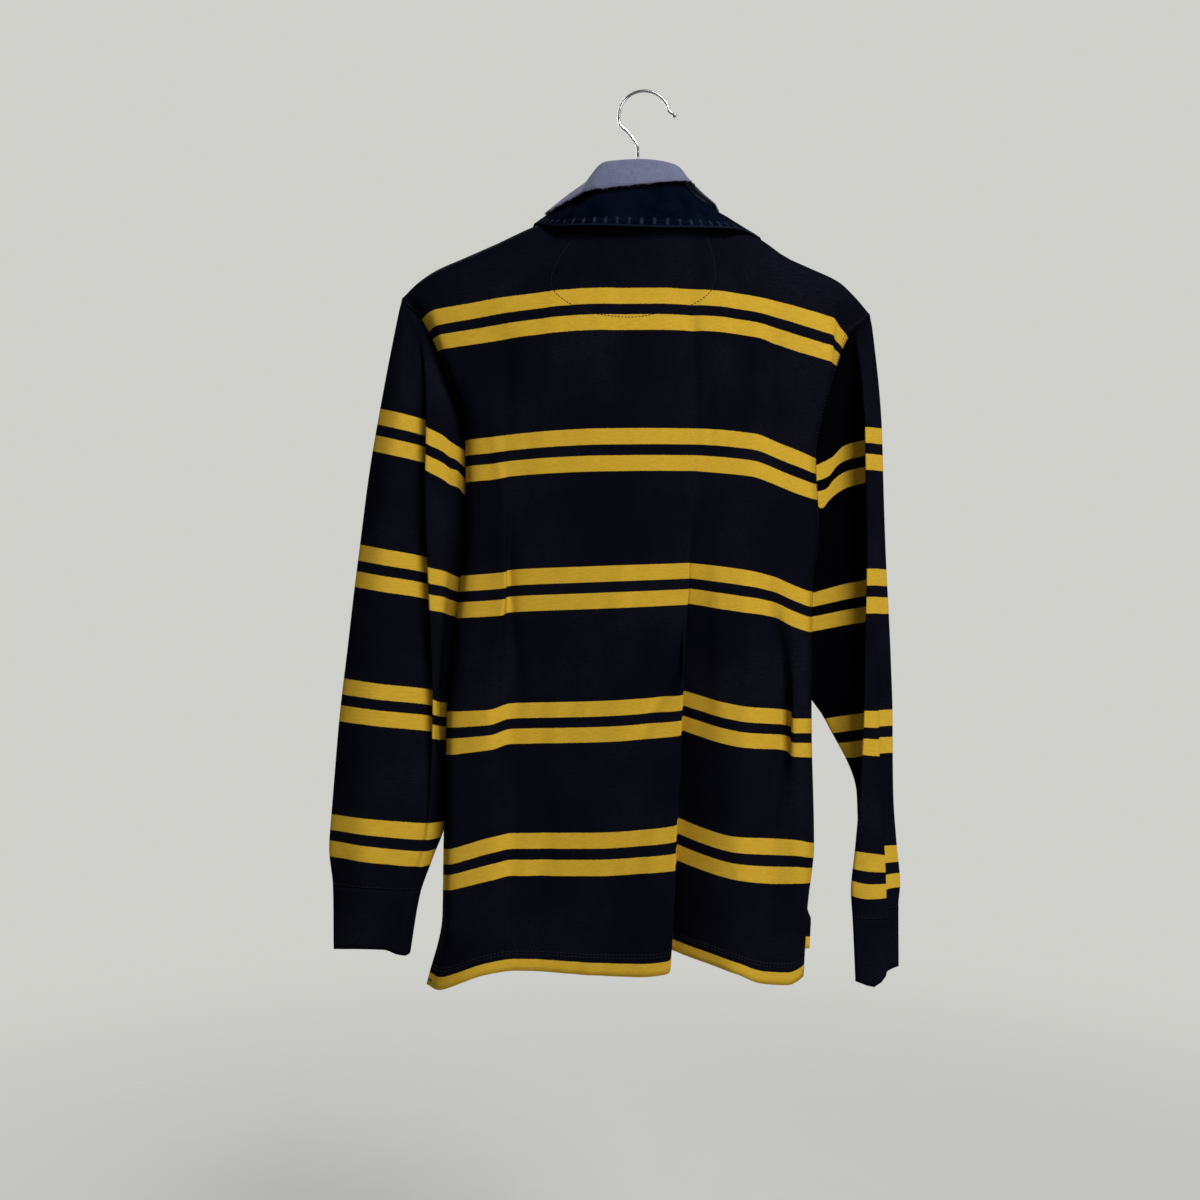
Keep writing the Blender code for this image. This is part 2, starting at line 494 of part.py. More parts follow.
def wall(name, places, finish, parent, closed=False, lifted=0.0, thick=CLOTH):
    """A cloth wall round a grid of places: two skins, joined at the cloth's edges."""
    middle = seen(places[..., :3])
    normal = facing(middle, closed)
    down, across = middle.shape[:2]
    near = (lifted + thick / 2) / 1000
    far = (lifted - thick / 2) / 1000
    points = np.concatenate([(middle + normal * near), (middle + normal * far)]).reshape(-1, 3)
    second = down * across
    faces = []
    for row in range(down - 1):
        for column in range(across if closed else across - 1):
            beside = (column + 1) % across
            corners = (
                row * across + column, row * across + beside,
                (row + 1) * across + beside, (row + 1) * across + column,
            )
            faces.append(corners)
            faces.append(tuple(second + corner for corner in reversed(corners)))
    rim = [(0, column) for column in range(across)]
    bottom = [(down - 1, column) for column in range(across)]
    if closed:
        loops = [rim + rim[:1], bottom + bottom[:1]]
    else:
        right = [(row, across - 1) for row in range(1, down)]
        left = [(row, 0) for row in range(down - 2, 0, -1)]
        loops = [rim + right + bottom[-2::-1] + left + rim[:1]]
    for loop in loops:
        flat = [row * across + column for row, column in loop]
        faces += [(b, a, second + a, second + b) for a, b in zip(flat[:-1], flat[1:])]
    return new_object(name, points, faces, finish, parent)


def make_body(navy, parent):
    across = divided(BACK_ACROSS, CELL_ACROSS)
    rows, courses = back_rows(across)
    fine = divided(ARMPIT_COURSES, CELL_DOWN / 2)
    down = np.union1d(divided(courses, CELL_DOWN), fine)
    wall("back", grid_between(rows, courses, down), navy, parent)
    necks = [FRONT_STATIONS.index(name) for name in ("neck_left", "neck_right")]
    shoulders = divided(FRONT_ACROSS, 2 * CELL_ACROSS)
    across = np.union1d(shoulders, divided(FRONT_ACROSS[necks[0] : necks[1] + 1], NECK_CELL))
    rows, courses = front_rows(across)
    down = np.union1d(divided(courses, 1.5 * CELL_DOWN), fine)
    grid = grid_between(rows, courses, down)
    for side in (0, 1):
        grid[:, -side] = back_edge(side, down) + np.array([0, 0, SIDE_GAP, 0])
    wall("front", grid, navy, parent)


def make_sleeve(side, navy, parent):
    name, stations, around, _, _, _ = SLEEVES[side]
    armpit = [stations.index(name) for name in ARMPIT[side]]
    fine = divided(around[armpit[0] : armpit[1] + 1], CELL_ACROSS / 2)
    at = np.union1d(divided(around, CELL_ACROSS)[:-1], fine)
    rows, courses = sleeve_rows(side, at)
    seam, end = SLEEVE_COURSES[-2:]
    down = divided([course for course in courses if course <= seam], CELL_DOWN)
    wall("sleeve_" + name, grid_between(rows, courses, down), navy, parent, closed=True)
    down = np.linspace(seam + 1.5 * SEAM, end, 3)
    wall("cuff_" + name, grid_between(rows, courses, down), navy, parent, closed=True)


def neck_seam(around):
    """The panels' top edges at the neck, at some places round the collar."""
    front, back = np.array(FRONT_SEAM, float), np.array(BACK_SEAM, float)
    on_front = front_rows(smooth(front[:, 0], front[:, 1], around))[0][0]
    behind = np.clip(around, back[0, 0], back[-1, 0])
    on_back = back_rows(smooth(back[:, 0], back[:, 1], behind))[0][0]
    return np.where((around == behind)[:, None], on_back, on_front)[:, :3]


def collar_places(around):
    """At some places round the collar: its seam, roll and fall's edge, the chambray's share of the
    way between the last two, and the level direction away from the neck."""
    rolls, edges, shares = (np.array([row[part] for row in COLLAR], float) for part in (1, 2, 3))
    roll, edge, share = (smooth(COLLAR_AROUND, table, around) for table in (rolls, edges, shares))
    away = roll[:, [0, 2]] - np.array(NECK_MIDDLE)
    away = away / np.linalg.norm(away, axis=1, keepdims=True)
    out = np.stack([away[:, 0], np.zeros(len(away)), away[:, 1]], axis=1)
    seam = neck_seam(around) - DOWN * COLLAR_RISE - out * COLLAR_IN
    return seam, roll, edge, share[:, None], out


def turned_over(seam, roll, out, half, below):
    """The sections where a layer of the collar turns over its top: up, over and down."""
    high = (seam - roll)[:, 1:2]
    share = np.minimum(1, high / TALL_STAND)
    leaning = (seam - roll) / high * share
    top = roll + leaning * below
    return top - out * half + leaning * FOLD_DEEP, top, top + out * half + DOWN * share * FOLD_DEEP


def neckband_sections(around):
    """The chambray band: from the neck seam, up inside the collar and out over its top."""
    seam, roll, edge, share, out = collar_places(around)
    folds = turned_over(seam, roll, out, CHAMBRAY_ROLL, 0)
    lip = roll + (edge - roll) * share + out * LIP_OUT
    return (0, 34, 44, 54, 76), [seam - out * COLLAR_LAYER, *folds, lip]


def fall_sections(around):
    """The navy collar: its stand up from the neck seam, its fold and its fall."""
    seam, roll, edge, _, out = collar_places(around)
    folds = turned_over(seam, roll, out, NAVY_ROLL, NAVY_LOWER)
    return (0, 32, 40, 48, 72, 96), [seam, *folds, (folds[2] + edge) / 2 + out * 1.5, edge]


def make_collar(twill, chambray, parent):
    around = divided(COLLAR_AROUND, 1.3 * CELL_ACROSS)
    for name, made, finish, cell in (
        ("neckband", neckband_sections(around), chambray, CELL_ACROSS / 2),
        ("collar_fall", fall_sections(around), twill, CELL_ACROSS),
    ):
        courses, sections = made
        wall(name, smooth(courses, np.array(sections), divided(courses, cell)), finish, parent)


def front_place(across, course):
    """A place on the front and its outward normal, both real, in metres."""
    near = np.array([across - 1, across, across + 1])
    rows, courses = front_rows(near)
    points = seen(grid_between(rows, courses, np.array([course - 1, course, course + 1]))[..., :3])
    normal = facing(points, False)[1, 1]
    return points[1, 1], normal if normal[1] > 0 else -normal


def make_placket(navy, rubber, parent):
    centre = FRONT_ACROSS[FRONT_STATIONS.index("centre")]
    across = np.linspace(centre - PLACKET_WIDTH / 2, centre + PLACKET_WIDTH / 2, 4)
    rows, courses = front_rows(across)
    places = grid_between(rows, courses, np.linspace(*PLACKET_COURSES, 6))
    points = seen(places[..., :3])
    side = 1 if facing(points, False)[0, 0, 1] > 0 else -1
    wall("placket", places, navy, parent, lifted=side * (CLOTH + 1.8 * SEAM))
    for number, course in enumerate(BUTTON_COURSES, 1):
        point, normal = front_place(centre, course)
        out = (CLOTH * 1.5 + 2.8 * SEAM + BUTTON_THICK / 2) / 1000
        make_button(f"button_{number}", point + normal * out, normal, rubber, parent)


def loft(name, rings, finish, parent):
    """A closed object through rings with the same number of points, capped at both ends."""
    count, sides = len(rings), len(rings[0])
    faces = [tuple(range(sides)), tuple(range((count - 1) * sides, count * sides))]
    for ring in range(count - 1):
        for side in range(sides):
            a, b = ring * sides + side, ring * sides + (side + 1) % sides
            faces.append((a, b, b + sides, a + sides))
    return new_object(name, np.concatenate(rings), faces, finish, parent)


def circle(centre, first, second, radius, sides):
    """Points of a circle round a centre, in the plane of two unit directions."""
    turns = np.linspace(0, 2 * math.pi, sides, endpoint=False)[:, None]
    return centre + radius * (np.cos(turns) * first + np.sin(turns) * second)


def make_button(name, centre, normal, rubber, parent):
    """A flat rubber button with a rounded rim."""
    up = np.cross(normal, (1, 0, 0))
    up /= np.linalg.norm(up)
    beside = np.cross(up, normal)
    rings = []
    for share, height in BUTTON_PROFILE:
        middle = centre + normal * height * BUTTON_THICK / 1000
        rings.append(circle(middle, beside, up, share * BUTTON_RADIUS / 1000, BUTTON_SIDES))
    loft(name, rings, rubber, parent)


def bar_top(right):
    """How far below the origin the bar's top is, just under the cloth of the shoulders."""
    line = [row for row in SHOULDER_LINE if not NECK_LINE[0][0] < row[0] < NECK_LINE[-1][0]]
    return float(along(line, np.array([right]))[0, 0]) + CLOTH / 2 + SEAM + BAR_SLACK


def make_hanger_body(wood, parent):
    middle, half = sum(BAR_DEEP) / 2, (BAR_DEEP[1] - BAR_DEEP[0]) / 2
    bar = np.array(HANGER_BAR)
    rings = []
    for right in divided(bar[:, 0], 1.6 * CELL_ACROSS):
        lower, wide, high = smooth(bar[:, 0], bar[:, 1:], np.array([right]))[0]
        ring = []
        for across, down in BAR_SECTION:
            crown = BAR_CROWN * across * across
            below = bar_top(right) + lower + crown + down * (BAR_HIGH * high - crown)
            ring.append((right, middle + across * half * wide, -below))
        rings.append(np.array(ring) / 1000)
    loft("hanger_body", rings, wood, parent)


def hook_path(base):
    """The middle of the hook's wire, (right, below), from its foot up and over to its ball."""
    turns = np.radians(np.linspace(*HOOK_ARC, 16))
    arc = np.array(HOOK_CENTRE) + HOOK_RADIUS * np.stack([np.cos(turns), -np.sin(turns)], axis=1)
    ferrule = base - FERRULE_HIGH
    foot = [(STEM_RIGHT, base), (STEM_RIGHT, ferrule), (STEM_RIGHT, ferrule - FERRULE_STEP)]
    return np.array([*foot, *STEM_BEND, *arc, *HOOK_TIP], float)


def make_hook(chrome, parent):
    """The wire hook with a ferrule at its foot and a ball at its tip."""
    base = bar_top(STEM_RIGHT) + min(row[1] for row in HANGER_BAR) - SEAM
    path = hook_path(base)
    radii = np.full(len(path), WIRE_RADIUS)
    radii[:2] = FERRULE_RADIUS
    end, along = path[-1], path[-1] - path[-2]
    along = along / np.linalg.norm(along)
    for turn in np.radians((-60, -30, 0, 30, 60, 85)):
        path = np.vstack([path, end + along * BALL_RADIUS * (1 + math.sin(turn))])
        radii = np.append(radii, BALL_RADIUS * math.cos(turn))
    heading = np.gradient(path, axis=0)
    heading /= np.linalg.norm(heading, axis=1, keepdims=True)
    rings = []
    for (right, below), (ahead, down), radius in zip(path, heading, radii):
        side = np.array([down, 0, ahead])
        centre = np.array([right, 0, -below])
        rings.append(circle(centre, side, np.array([0.0, 1.0, 0.0]), radius, 12) / 1000)
    loft("hanger_hook", rings, chrome, parent)


def main():
    for old in list(bpy.data.objects):
        bpy.data.objects.remove(old)
    shirt = bpy.data.objects.new("shirt_on_hanger", None)
    bpy.context.scene.collection.objects.link(shirt)
    navy = material("navy_jersey", NAVY, 0.9)
    twill = material("navy_twill", TWILL, 0.85)
    chambray = material("chambray", CHAMBRAY, 0.9)
    rubber = material("rubber", RUBBER, 0.5)
    wood = material("beech", WOOD, 0.5)
    chrome = material("chrome", CHROME, 0.15, 1.0)
    make_body(navy, shirt)
    for side in (0, 1):
        make_sleeve(side, navy, shirt)
    make_collar(twill, chambray, shirt)
    make_placket(navy, rubber, shirt)
    make_hanger_body(wood, shirt)
    make_hook(chrome, shirt)


if __name__ == "__main__":
    main()
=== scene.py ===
"""Looks of a long-sleeved rugby shirt on its hanger, with its back to the viewer.

The origin is the inside top of the hanger's hook. +Z is up and +X is to the viewer's right. The
viewer looks along +Y, so the shirt's back faces -Y and its front +Y.
"""

import math
from typing import NamedTuple

import bpy
import numpy as np
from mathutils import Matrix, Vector


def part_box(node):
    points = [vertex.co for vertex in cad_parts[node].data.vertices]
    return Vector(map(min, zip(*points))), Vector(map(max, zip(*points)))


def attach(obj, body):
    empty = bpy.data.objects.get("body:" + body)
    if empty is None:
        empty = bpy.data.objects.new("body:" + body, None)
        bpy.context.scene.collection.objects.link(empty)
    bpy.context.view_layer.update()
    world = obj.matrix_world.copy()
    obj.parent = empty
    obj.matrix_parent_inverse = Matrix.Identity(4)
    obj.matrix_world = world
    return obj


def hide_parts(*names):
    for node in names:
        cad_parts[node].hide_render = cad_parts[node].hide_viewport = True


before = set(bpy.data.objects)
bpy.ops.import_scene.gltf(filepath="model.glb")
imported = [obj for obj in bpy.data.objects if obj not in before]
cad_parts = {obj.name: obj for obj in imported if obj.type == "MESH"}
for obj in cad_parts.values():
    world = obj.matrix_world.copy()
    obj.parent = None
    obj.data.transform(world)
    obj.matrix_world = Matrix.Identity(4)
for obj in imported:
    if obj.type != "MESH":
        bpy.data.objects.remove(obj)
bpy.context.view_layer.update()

bl_info = {
    "name": "Rugby Shirt on a Hanger",
    "version": (1, 0, 0),
    "blender": (4, 5, 0),
    "location": "3D View > Sidebar > Shirt",
    "description": "Makes a striped long-sleeved rugby shirt on its hanger",
    "category": "Add Mesh",
}

# Sizes in mm
CLOTH = 1.3  # thickness of every cloth wall
VENT_FLARE = 5.0  # how far the front's edge stands out past the back's along the right vent
SIDE_GAP = CLOTH + 0.1  # from the middle of the back's wall to the front's at a side seam
ARMHOLE_GAP = 0.1  # from the body's armhole edge to the sleeve's
SHOULDER_ROUND = 8.0  # how far the cloth runs level over the hanger before it turns down
SHOULDER_DROP = 2.5  # how far it falls on the way
SHOULDER_TIP = (5.0, 30.0)  # distances from the armhole between which that rounding sets in
NECK_ROUND = 3.0  # how far inside the neck points, along the front's neckline, that rounding ends
COLLAR_LAYER = 3.4  # from the chambray's wall to the navy stand's at the neck seam
COLLAR_RISE = 1.5  # from the panels' edge at the neck seam up to the collar's lower edge
COLLAR_IN = 2.5  # and from it in towards the neck
CHAMBRAY_ROLL = 5.3  # half the width of the chambray's roll over the top of the collar
NAVY_ROLL = 1.8  # half the width of the navy collar's own fold inside that roll
NAVY_LOWER = 9.0  # how much lower the navy fold's top is than the chambray's
FOLD_DEEP = 5.0  # how far below its top each fold has that width
TALL_STAND = 40.0  # a stand lower than this has its folds made smaller in proportion
PLACKET_WIDTH = 32.0
PLACKET_COURSES = (76.0, 236.0)  # where it starts and ends, by courses of the front
PLACKET_CELLS = (13, 40)  # points across it and down it
PLACKET_LIFT = 1.9  # from the middle of the front's wall to the middle of the placket's
BUTTON_COURSES = (92.0, 145.0, 198.0)
BUTTON_RADIUS = 6.5
BUTTON_THICK = 3.0
BUTTON_LIFT = 4.6  # from the middle of the front's wall to the middle of a button
BUTTON_SIDES = 32
WIRE_RADIUS = 1.5  # the hook's wire
BALL_RADIUS = 2.4
HOOK_RADIUS = 25.5  # of the wire's middle line
HOOK_CENTRE = (2.3, 24.0)  # right of the origin and below it

# The viewer's eye: right of the origin, below it and in front of it
EYE_RIGHT, EYE_BELOW, EYE_AWAY = -42.0, 507.5, 1200.0

# How long a mesh cell is, across the cloth and down it
CELL_ACROSS = 4.0
CELL_DOWN = 6.0
COLLAR_CELL = 3.0  # down the collar
CUFF_ROWS = 14

# Each place below is (right, below, deep): mm right of the origin and below it as the eye sees it
# on the hanger's plane, and mm behind that plane. A course is a row of knitting, numbered by its
# distance in mm down the cloth; the stripes run along courses.

# The back's top edge, from the left armhole over the shoulders and round the back of the neck
SHOULDER_LINE = (
    (-239, 205.5, 3), (-223, 190.5, 0), (-207, 179.5, -1), (-178, 166.5, -2), (-146, 152.5, -2),
    (-105, 133.5, -2), (-70, 121.5, -1), (-67, 124.5, -8), (-60, 127.5, -16), (-42, 129.5, -27),
    (-22, 130.5, -32), (-2, 131.5, -34), (18, 132.5, -34), (38, 132.5, -31), (54, 131, -24),
    (64, 129, -15), (68, 127.8, -8), (70, 127, -1), (118, 147.5, -2), (144, 165.5, -3),
    (168, 176.5, -2), (197, 190.5, -1), (211, 203.5, 0), (227, 221.5, 3),
)
# The front's neckline between the same two neck points
NECK_LINE = (
    (-70, 121.5, 1.1), (-69, 129.5, 6), (-67, 143.5, 11), (-57, 179.5, 16), (-32, 201.5, 18),
    (-2, 210.5, 19), (30, 203.5, 18), (56, 182.5, 16), (66, 151.5, 11), (69, 135.5, 6), (70, 127, 1.1),
)

# How far across the back each station lies: its left side, the strip beside the sleeve and its turn,
# the valley, the middle, the pleat's layer, its edge and what lies under it, the ridge, the dip, the
# right strip, its brink and the right side
BACK_ACROSS = (0, 32, 72, 98, 192, 250, 280, 330, 400, 440, 458, 470, 496)
# Each section is a name, a course and the places of its stations. The sections called pair run
# along the upper edge of a pair of stripes, and pair_1_low along the lower edge of the first.
BACK_SECTIONS = (
    ("top", 0,
     (-239, 205.5, 3), (-223, 190.5, -1), (-178, 166.5, -2), (-70, 121.5, -1), (-42, 129.5, -26),
     (0, 131.5, -34), (30, 132.5, -32), (56, 131, -18), (70, 127, -1), (158, 171.5, -3),
     (198, 191.5, -1), (211, 203.5, 0), (227, 221.5, 3)),
    ("pair_1", 70,
     (-220, 227.5, 4), (-210, 218.5, -13), (-172, 211, -24), (-135, 204.5, -32), (-42, 195.5, -42),
     (18, 195.5, -43), (48, 196.8, -42), (71, 198, -40), (120, 205.5, -34), (158, 215.5, -28),
     (182, 222.5, -22), (191, 225.5, -15), (206, 245.5, 3)),
    ("pair_1_low", 114,
     (-204, 259.5, 4), (-198, 257.5, -16), (-162, 252, -27), (-131, 246.5, -35), (-42, 238.5, -45),
     (18, 238.5, -46), (48, 239, -45), (71, 240, -43), (120, 247.5, -37), (153, 259.5, -30),
     (178, 267, -25), (190, 270.5, -19), (194, 274.5, 3)),
    ("pair_2", 208,
     (-177, 348.5, 4), (-170, 347.5, -22), (-150, 345, -34), (-130, 342.5, -38), (-42, 336.5, -50),
     (18, 336.2, -51), (48, 336.5, -50), (73, 337.5, -48), (115, 342.5, -42), (145, 354.5, -30),
     (158, 359.5, -26), (169, 364.5, -19), (173.5, 366.5, 3)),
    ("armpit", 290,
     (-176, 429.5, 4), (-170, 428.5, -28), (-137.5, 424.5, -42), (-133, 422.5, -36), (-42, 418, -50),
     (18, 417, -52), (48, 416.8, -52), (51, 417.5, -48), (103, 422.5, -45), (138, 433.5, -29),
     (158, 441.5, -25), (172, 445, -19), (177, 445.5, 3)),
    ("pair_3", 346,
     (-181, 484.5, 4), (-175, 484, -30), (-137, 480.5, -46), (-134.5, 479, -35), (-42, 474.5, -50),
     (18, 472.5, -52), (46.5, 471.5, -53), (48, 471.5, -42), (98, 477.5, -46), (130, 484.5, -29),
     (151, 493.5, -27), (166, 499.5, -20), (170, 500, 3)),
    ("pair_4", 483,
     (-195, 619.5, 4), (-189, 619.5, -32), (-154, 618, -46), (-132, 611.5, -35), (-42, 609, -46),
     (13, 605.5, -53), (40, 603.1, -56), (41.5, 598.5, -18), (103, 614.5, -40), (146, 618.5, -18),
     (152, 626.5, -28), (165, 626.5, -21), (169, 626.5, 3)),
    ("pair_5", 620,
     (-198, 756.5, 4), (-192, 756.5, -34), (-150, 744.5, -44), (-129, 740.5, -34), (-42, 740, -46),
     (8, 736.5, -54), (34, 732.5, -58), (35.5, 724.5, -6), (95, 744.5, -40), (133, 746, -26),
     (155, 747.5, -28), (167, 750, -21), (171.5, 750.5, 3)),
    ("vent", 690,
     (-199, 822.5, 4), (-193, 823.5, -33), (-152, 814.5, -42), (-130, 809.5, -36), (-42, 810.5, -45),
     (3, 808.5, -53), (31.5, 806.5, -58), (33, 792.5, -3), (96, 814.5, -38), (133, 819.5, -25),
     (151, 818.5, -25), (161, 816.5, -18), (165, 814.5, 3)),
    ("hem", 765,
     (-215, 891.5, -4), (-202, 897.5, -24), (-157, 882.5, -40), (-127, 878, -38), (-52, 882.5, -46),
     (-2, 884.5, -54), (27, 880.5, -58), (29.5, 857.5, 2), (94, 881.5, -38), (123, 891.5, -28),
     (145.5, 892.5, -22), (155, 888.5, -16), (161, 883.5, -6)),
)

FRONT_STATIONS = (
    "side_left", "chest_1", "chest_2", "neck_left", "collar_left", "throat_left", "centre",
    "throat_right", "collar_right", "neck_right", "chest_3", "chest_4", "side_right",
)
FRONT_ACROSS = (0, 60, 125, 190, 198, 218, 250, 282, 302, 310, 375, 440, 500)
# The front's first two sections run round its neckline, so each place has its own course there
FRONT_TOP = (
    ("top", 0,
     (-239, 205.5, 5), (-192, 172.5, 3), (-132, 146.5, 2), (-70, 121.5, 1.5), (-67.5, 141.5, 10),
     (-57, 179.5, 16), (-2, 210.5, 19), (56, 182.5, 16), (67.5, 147.5, 10), (70, 127, 1.5),
     (133, 158.5, 2), (188, 186.5, 3), (227, 221.5, 5)),
    ("pair_1", 70,
     (-220, 227.5, 6), (-180, 218.5, 15), (-127, 211.5, 19), (-72, 207.5, 19), (-64, 208.5, 19),
     (-46, 212.5, 19), (-2, 219.5, 20), (42, 215.5, 19), (64, 211.5, 19), (74, 211.5, 19),
     (126, 218.5, 19), (173, 229.5, 15), (206, 245.5, 5)),
)
FRONT_TOP_COURSES = (
    (0, 20, 5, 0, 18, 48, 79, 50, 18, 0, 5, 22, 0),
    (70, 70, 70, 72, 75, 80, 88, 80, 75, 72, 70, 70, 70),
)
# Below them each section spans the side seams: how far its middle rises over the line between
# them, and how deep each station lies
FRONT_SECTIONS = (
    ("pair_1_low", 114, 14, (17, 20, 20, 19, 19, 21, 19, 19, 20, 20, 17)),
    ("pair_2", 208, 9, (17, 22, 18, 21, 21, 23, 20, 20, 18, 22, 18)),
    ("armpit", 290, 8, (18, 23, 17, 20, 20, 24, 20, 20, 17, 23, 19)),
    ("pair_3", 346, 8, (18, 23, 16, 20, 20, 24, 19, 19, 16, 23, 19)),
    ("pair_4", 483, 7, (19, 24, 15, 19, 19, 24, 18, 18, 15, 24, 19)),
    ("pair_5", 620, 6, (19, 25, 13, 19, 19, 25, 17, 17, 13, 25, 19)),
    ("vent", 690, 5, (20, 26, 13, 18, 18, 26, 16, 16, 13, 26, 20)),
    ("hem", 735, 4, (20, 27, 12, 18, 18, 27, 16, 16, 12, 27, 20)),
)

CUFF_COURSES = (595, 662)  # where a cuff is sewn on and where it ends
# Left sleeve. Its stations go round the tube from its outer edge, over the near side and back: outer
# edge, main part, dip, crease, flap, flap's end, tuck, inner back and outer back. The last number is
# the whole way round.
LEFT_AROUND = (0, 32, 66, 86, 106, 130, 150, 188, 240, 285)
# Where each station meets the armhole, by the body's courses, the sleeve's own course there, and
# whether it is on the back's edge, 0, or the front's, 1
LEFT_ARMHOLE = (
    (0, 0, 0.5), (22, 7, 0), (50, 13, 0), (80, 22, 0), (165, 70, 0), (238, 130, 0), (286, 183, 0.5),
    (165, 90, 1), (50, 20, 1),
)
# The sleeve's own courses at the stations of its first section
LEFT_CAP_COURSES = (113, 113, 113, 113, 113, 145, 190, 125, 113)
LEFT_SECTIONS = (
    ("pair_a", 113,
     (-261, 316.5, 6), (-242, 320.5, -15), (-213.5, 329.5, -2), (-215, 334.5, -20), (-196, 345.5, -16),
     (-182, 385.5, 0), (-177, 441.5, 9), (-200, 357.5, 28), (-240, 329.5, 27)),
    ("cap", 175,
     (-271, 377.5, 6), (-252, 382.5, -16), (-214, 393.5, -2), (-216, 397.5, -21), (-197, 407.5, -14),
     (-185, 422.5, 1), (-174, 459.5, 18), (-199, 427.5, 30), (-242, 397.5, 28)),
    ("pair_b", 250,
     (-281.5, 452.5, 6), (-258, 457, -16), (-212, 467.5, -3), (-214, 474.5, -21), (-199, 478.5, -17),
     (-190, 482.5, 2), (-173, 489.5, 19), (-202, 479.5, 30), (-247, 463.5, 28)),
    ("pair_c", 387,
     (-297, 586.5, 6), (-267, 591.5, -18), (-207, 599.5, -5), (-209, 607.5, -21), (-204, 609.5, -15),
     (-200.5, 610.5, 2), (-188, 611.5, 18), (-217, 605.5, 29), (-262, 595.5, 28)),
    ("pair_d", 523,
     (-309.5, 721.5, 6), (-272, 726.5, -18), (-218, 730.5, -11), (-213, 730.5, -13), (-206, 729.5, -8),
     (-198, 728.5, 2), (-199, 728.5, 10), (-227, 727.5, 26), (-277, 724.5, 26)),
    ("wrist", 560,
     (-312, 757.5, 6), (-276, 763.5, -18), (-227, 768.5, -12), (-221, 768.5, -12), (-215, 767.5, -8),
     (-210, 764.5, 2), (-212, 764.5, 11), (-234, 763.5, 25), (-280, 760.5, 25)),
    ("seam", 595,
     (-308.5, 793.5, 5), (-277, 796.5, -15), (-239, 798.5, -12), (-232, 798.5, -11), (-226, 797.5, -7),
     (-221.5, 797.5, 2), (-223, 797.5, 10), (-242, 796.5, 21), (-287, 794.5, 20)),
    ("cuff_end", 662,
     (-307.5, 856.5, 4), (-282, 855.5, -12), (-257, 857.5, -14), (-246, 861.5, -14), (-238, 863, -10),
     (-232, 859.5, -1), (-234, 858.5, 7), (-252, 857.5, 17), (-290, 856.5, 16)),
)

# Right sleeve, the same way: outer edge, lit side, second fold, main part, first fold, the dark
# side's outer part and middle, inner edge, inner back and outer back
RIGHT_AROUND = (0, 18, 28, 38, 50, 78, 106, 138, 168, 212, 245)
RIGHT_ARMHOLE = (
    (0, 0, 0.5), (10, 2, 0), (22, 4, 0), (34, 6, 0), (48, 8, 0), (85, 14, 0), (160, 63, 0),
    (286, 186, 0.5), (160, 90, 1), (48, 16, 1),
)
RIGHT_CAP_COURSES = (113, 113, 113, 113, 113, 113, 113, 195, 130, 113)
RIGHT_SECTIONS = (
    ("pair_a", 113,
     (238, 336.5, 4), (234, 335.5, -8), (230, 335, -15), (226.5, 334.8, -20), (223, 334.5, -24),
     (225, 345.5, 3), (200, 354.5, 6), (172, 463.5, 10), (190, 377.5, 28), (226, 349.5, 25)),
    ("cap", 175,
     (240.5, 400.5, 4), (236, 399.5, -8), (232, 399, -15), (228, 398.5, -20), (224, 398, -24),
     (226, 409.5, 4), (201, 418.5, 8), (166, 481.5, 16), (190, 437.5, 30), (228, 412.5, 26)),
    ("pair_b", 250,
     (243, 477.5, 4), (238, 477, -8), (234, 476.5, -15), (229, 476.5, -20), (225, 476.5, -25),
     (227, 485.5, 4), (200, 492.5, 10), (160, 503.5, 18), (190, 497.5, 30), (228, 484.5, 26)),
    ("elbow", 345,
     (248, 574.5, 5), (236, 575, -7), (234.5, 575, -15), (229, 575, -20.5), (223, 575, -25.5),
     (225, 579, 3), (197, 583, 10), (162, 588.5, 18), (193, 585.5, 29), (231, 579, 25)),
    ("pair_c", 387,
     (250, 617.5, 5), (235.5, 618.5, -7), (235, 619, -15), (229, 619, -21), (222.5, 619, -26),
     (224, 620.5, 2), (203, 623.5, 10), (183.5, 626.5, 18), (203, 625.5, 28), (233, 620.5, 25)),
    ("forearm", 470,
     (251, 700.5, 5), (238, 701.5, -5), (238.5, 706.5, -17), (229, 705.5, -23), (218, 703.5, -25),
     (224, 704.5, 0), (219, 704.5, 7), (215, 703.5, 12), (224, 703.5, 24), (242, 701.5, 20)),
    ("pair_d", 523,
     (254.5, 752.5, 4), (241, 753.5, -2), (242.5, 762.5, -18), (228, 760.5, -23), (213.5, 758.5, -22),
     (222, 758.5, 0), (219, 757.5, 7), (216, 757.5, 12), (226, 755.5, 23), (246, 753.5, 18)),
    ("wrist", 560,
     (258, 789.5, 5), (243, 792.5, -2), (244, 800.5, -18), (226, 801.5, -22), (209.5, 797.5, -20),
     (219, 795.5, -2), (217, 794.5, 5), (215, 793.5, 11), (226, 792.5, 22), (247, 789.5, 18)),
    ("seam", 595,
     (256, 815.5, 4), (244, 818.5, -2), (244.5, 826.5, -16), (227, 827.5, -19), (211, 825.5, -17),
     (218, 823.5, -4), (217, 822.5, 2), (216, 821.5, 8), (226, 819.5, 18), (246, 816.5, 14)),
    ("cuff_end", 662,
     (256, 873.5, 3), (244, 879.5, -2), (243.5, 883.5, -14), (232, 894.5, -17), (214, 888.5, -14),
     (224, 890.5, -4), (222, 889.5, 1), (220, 886.5, 6), (228, 882.5, 14), (246, 876.5, 11)),
)

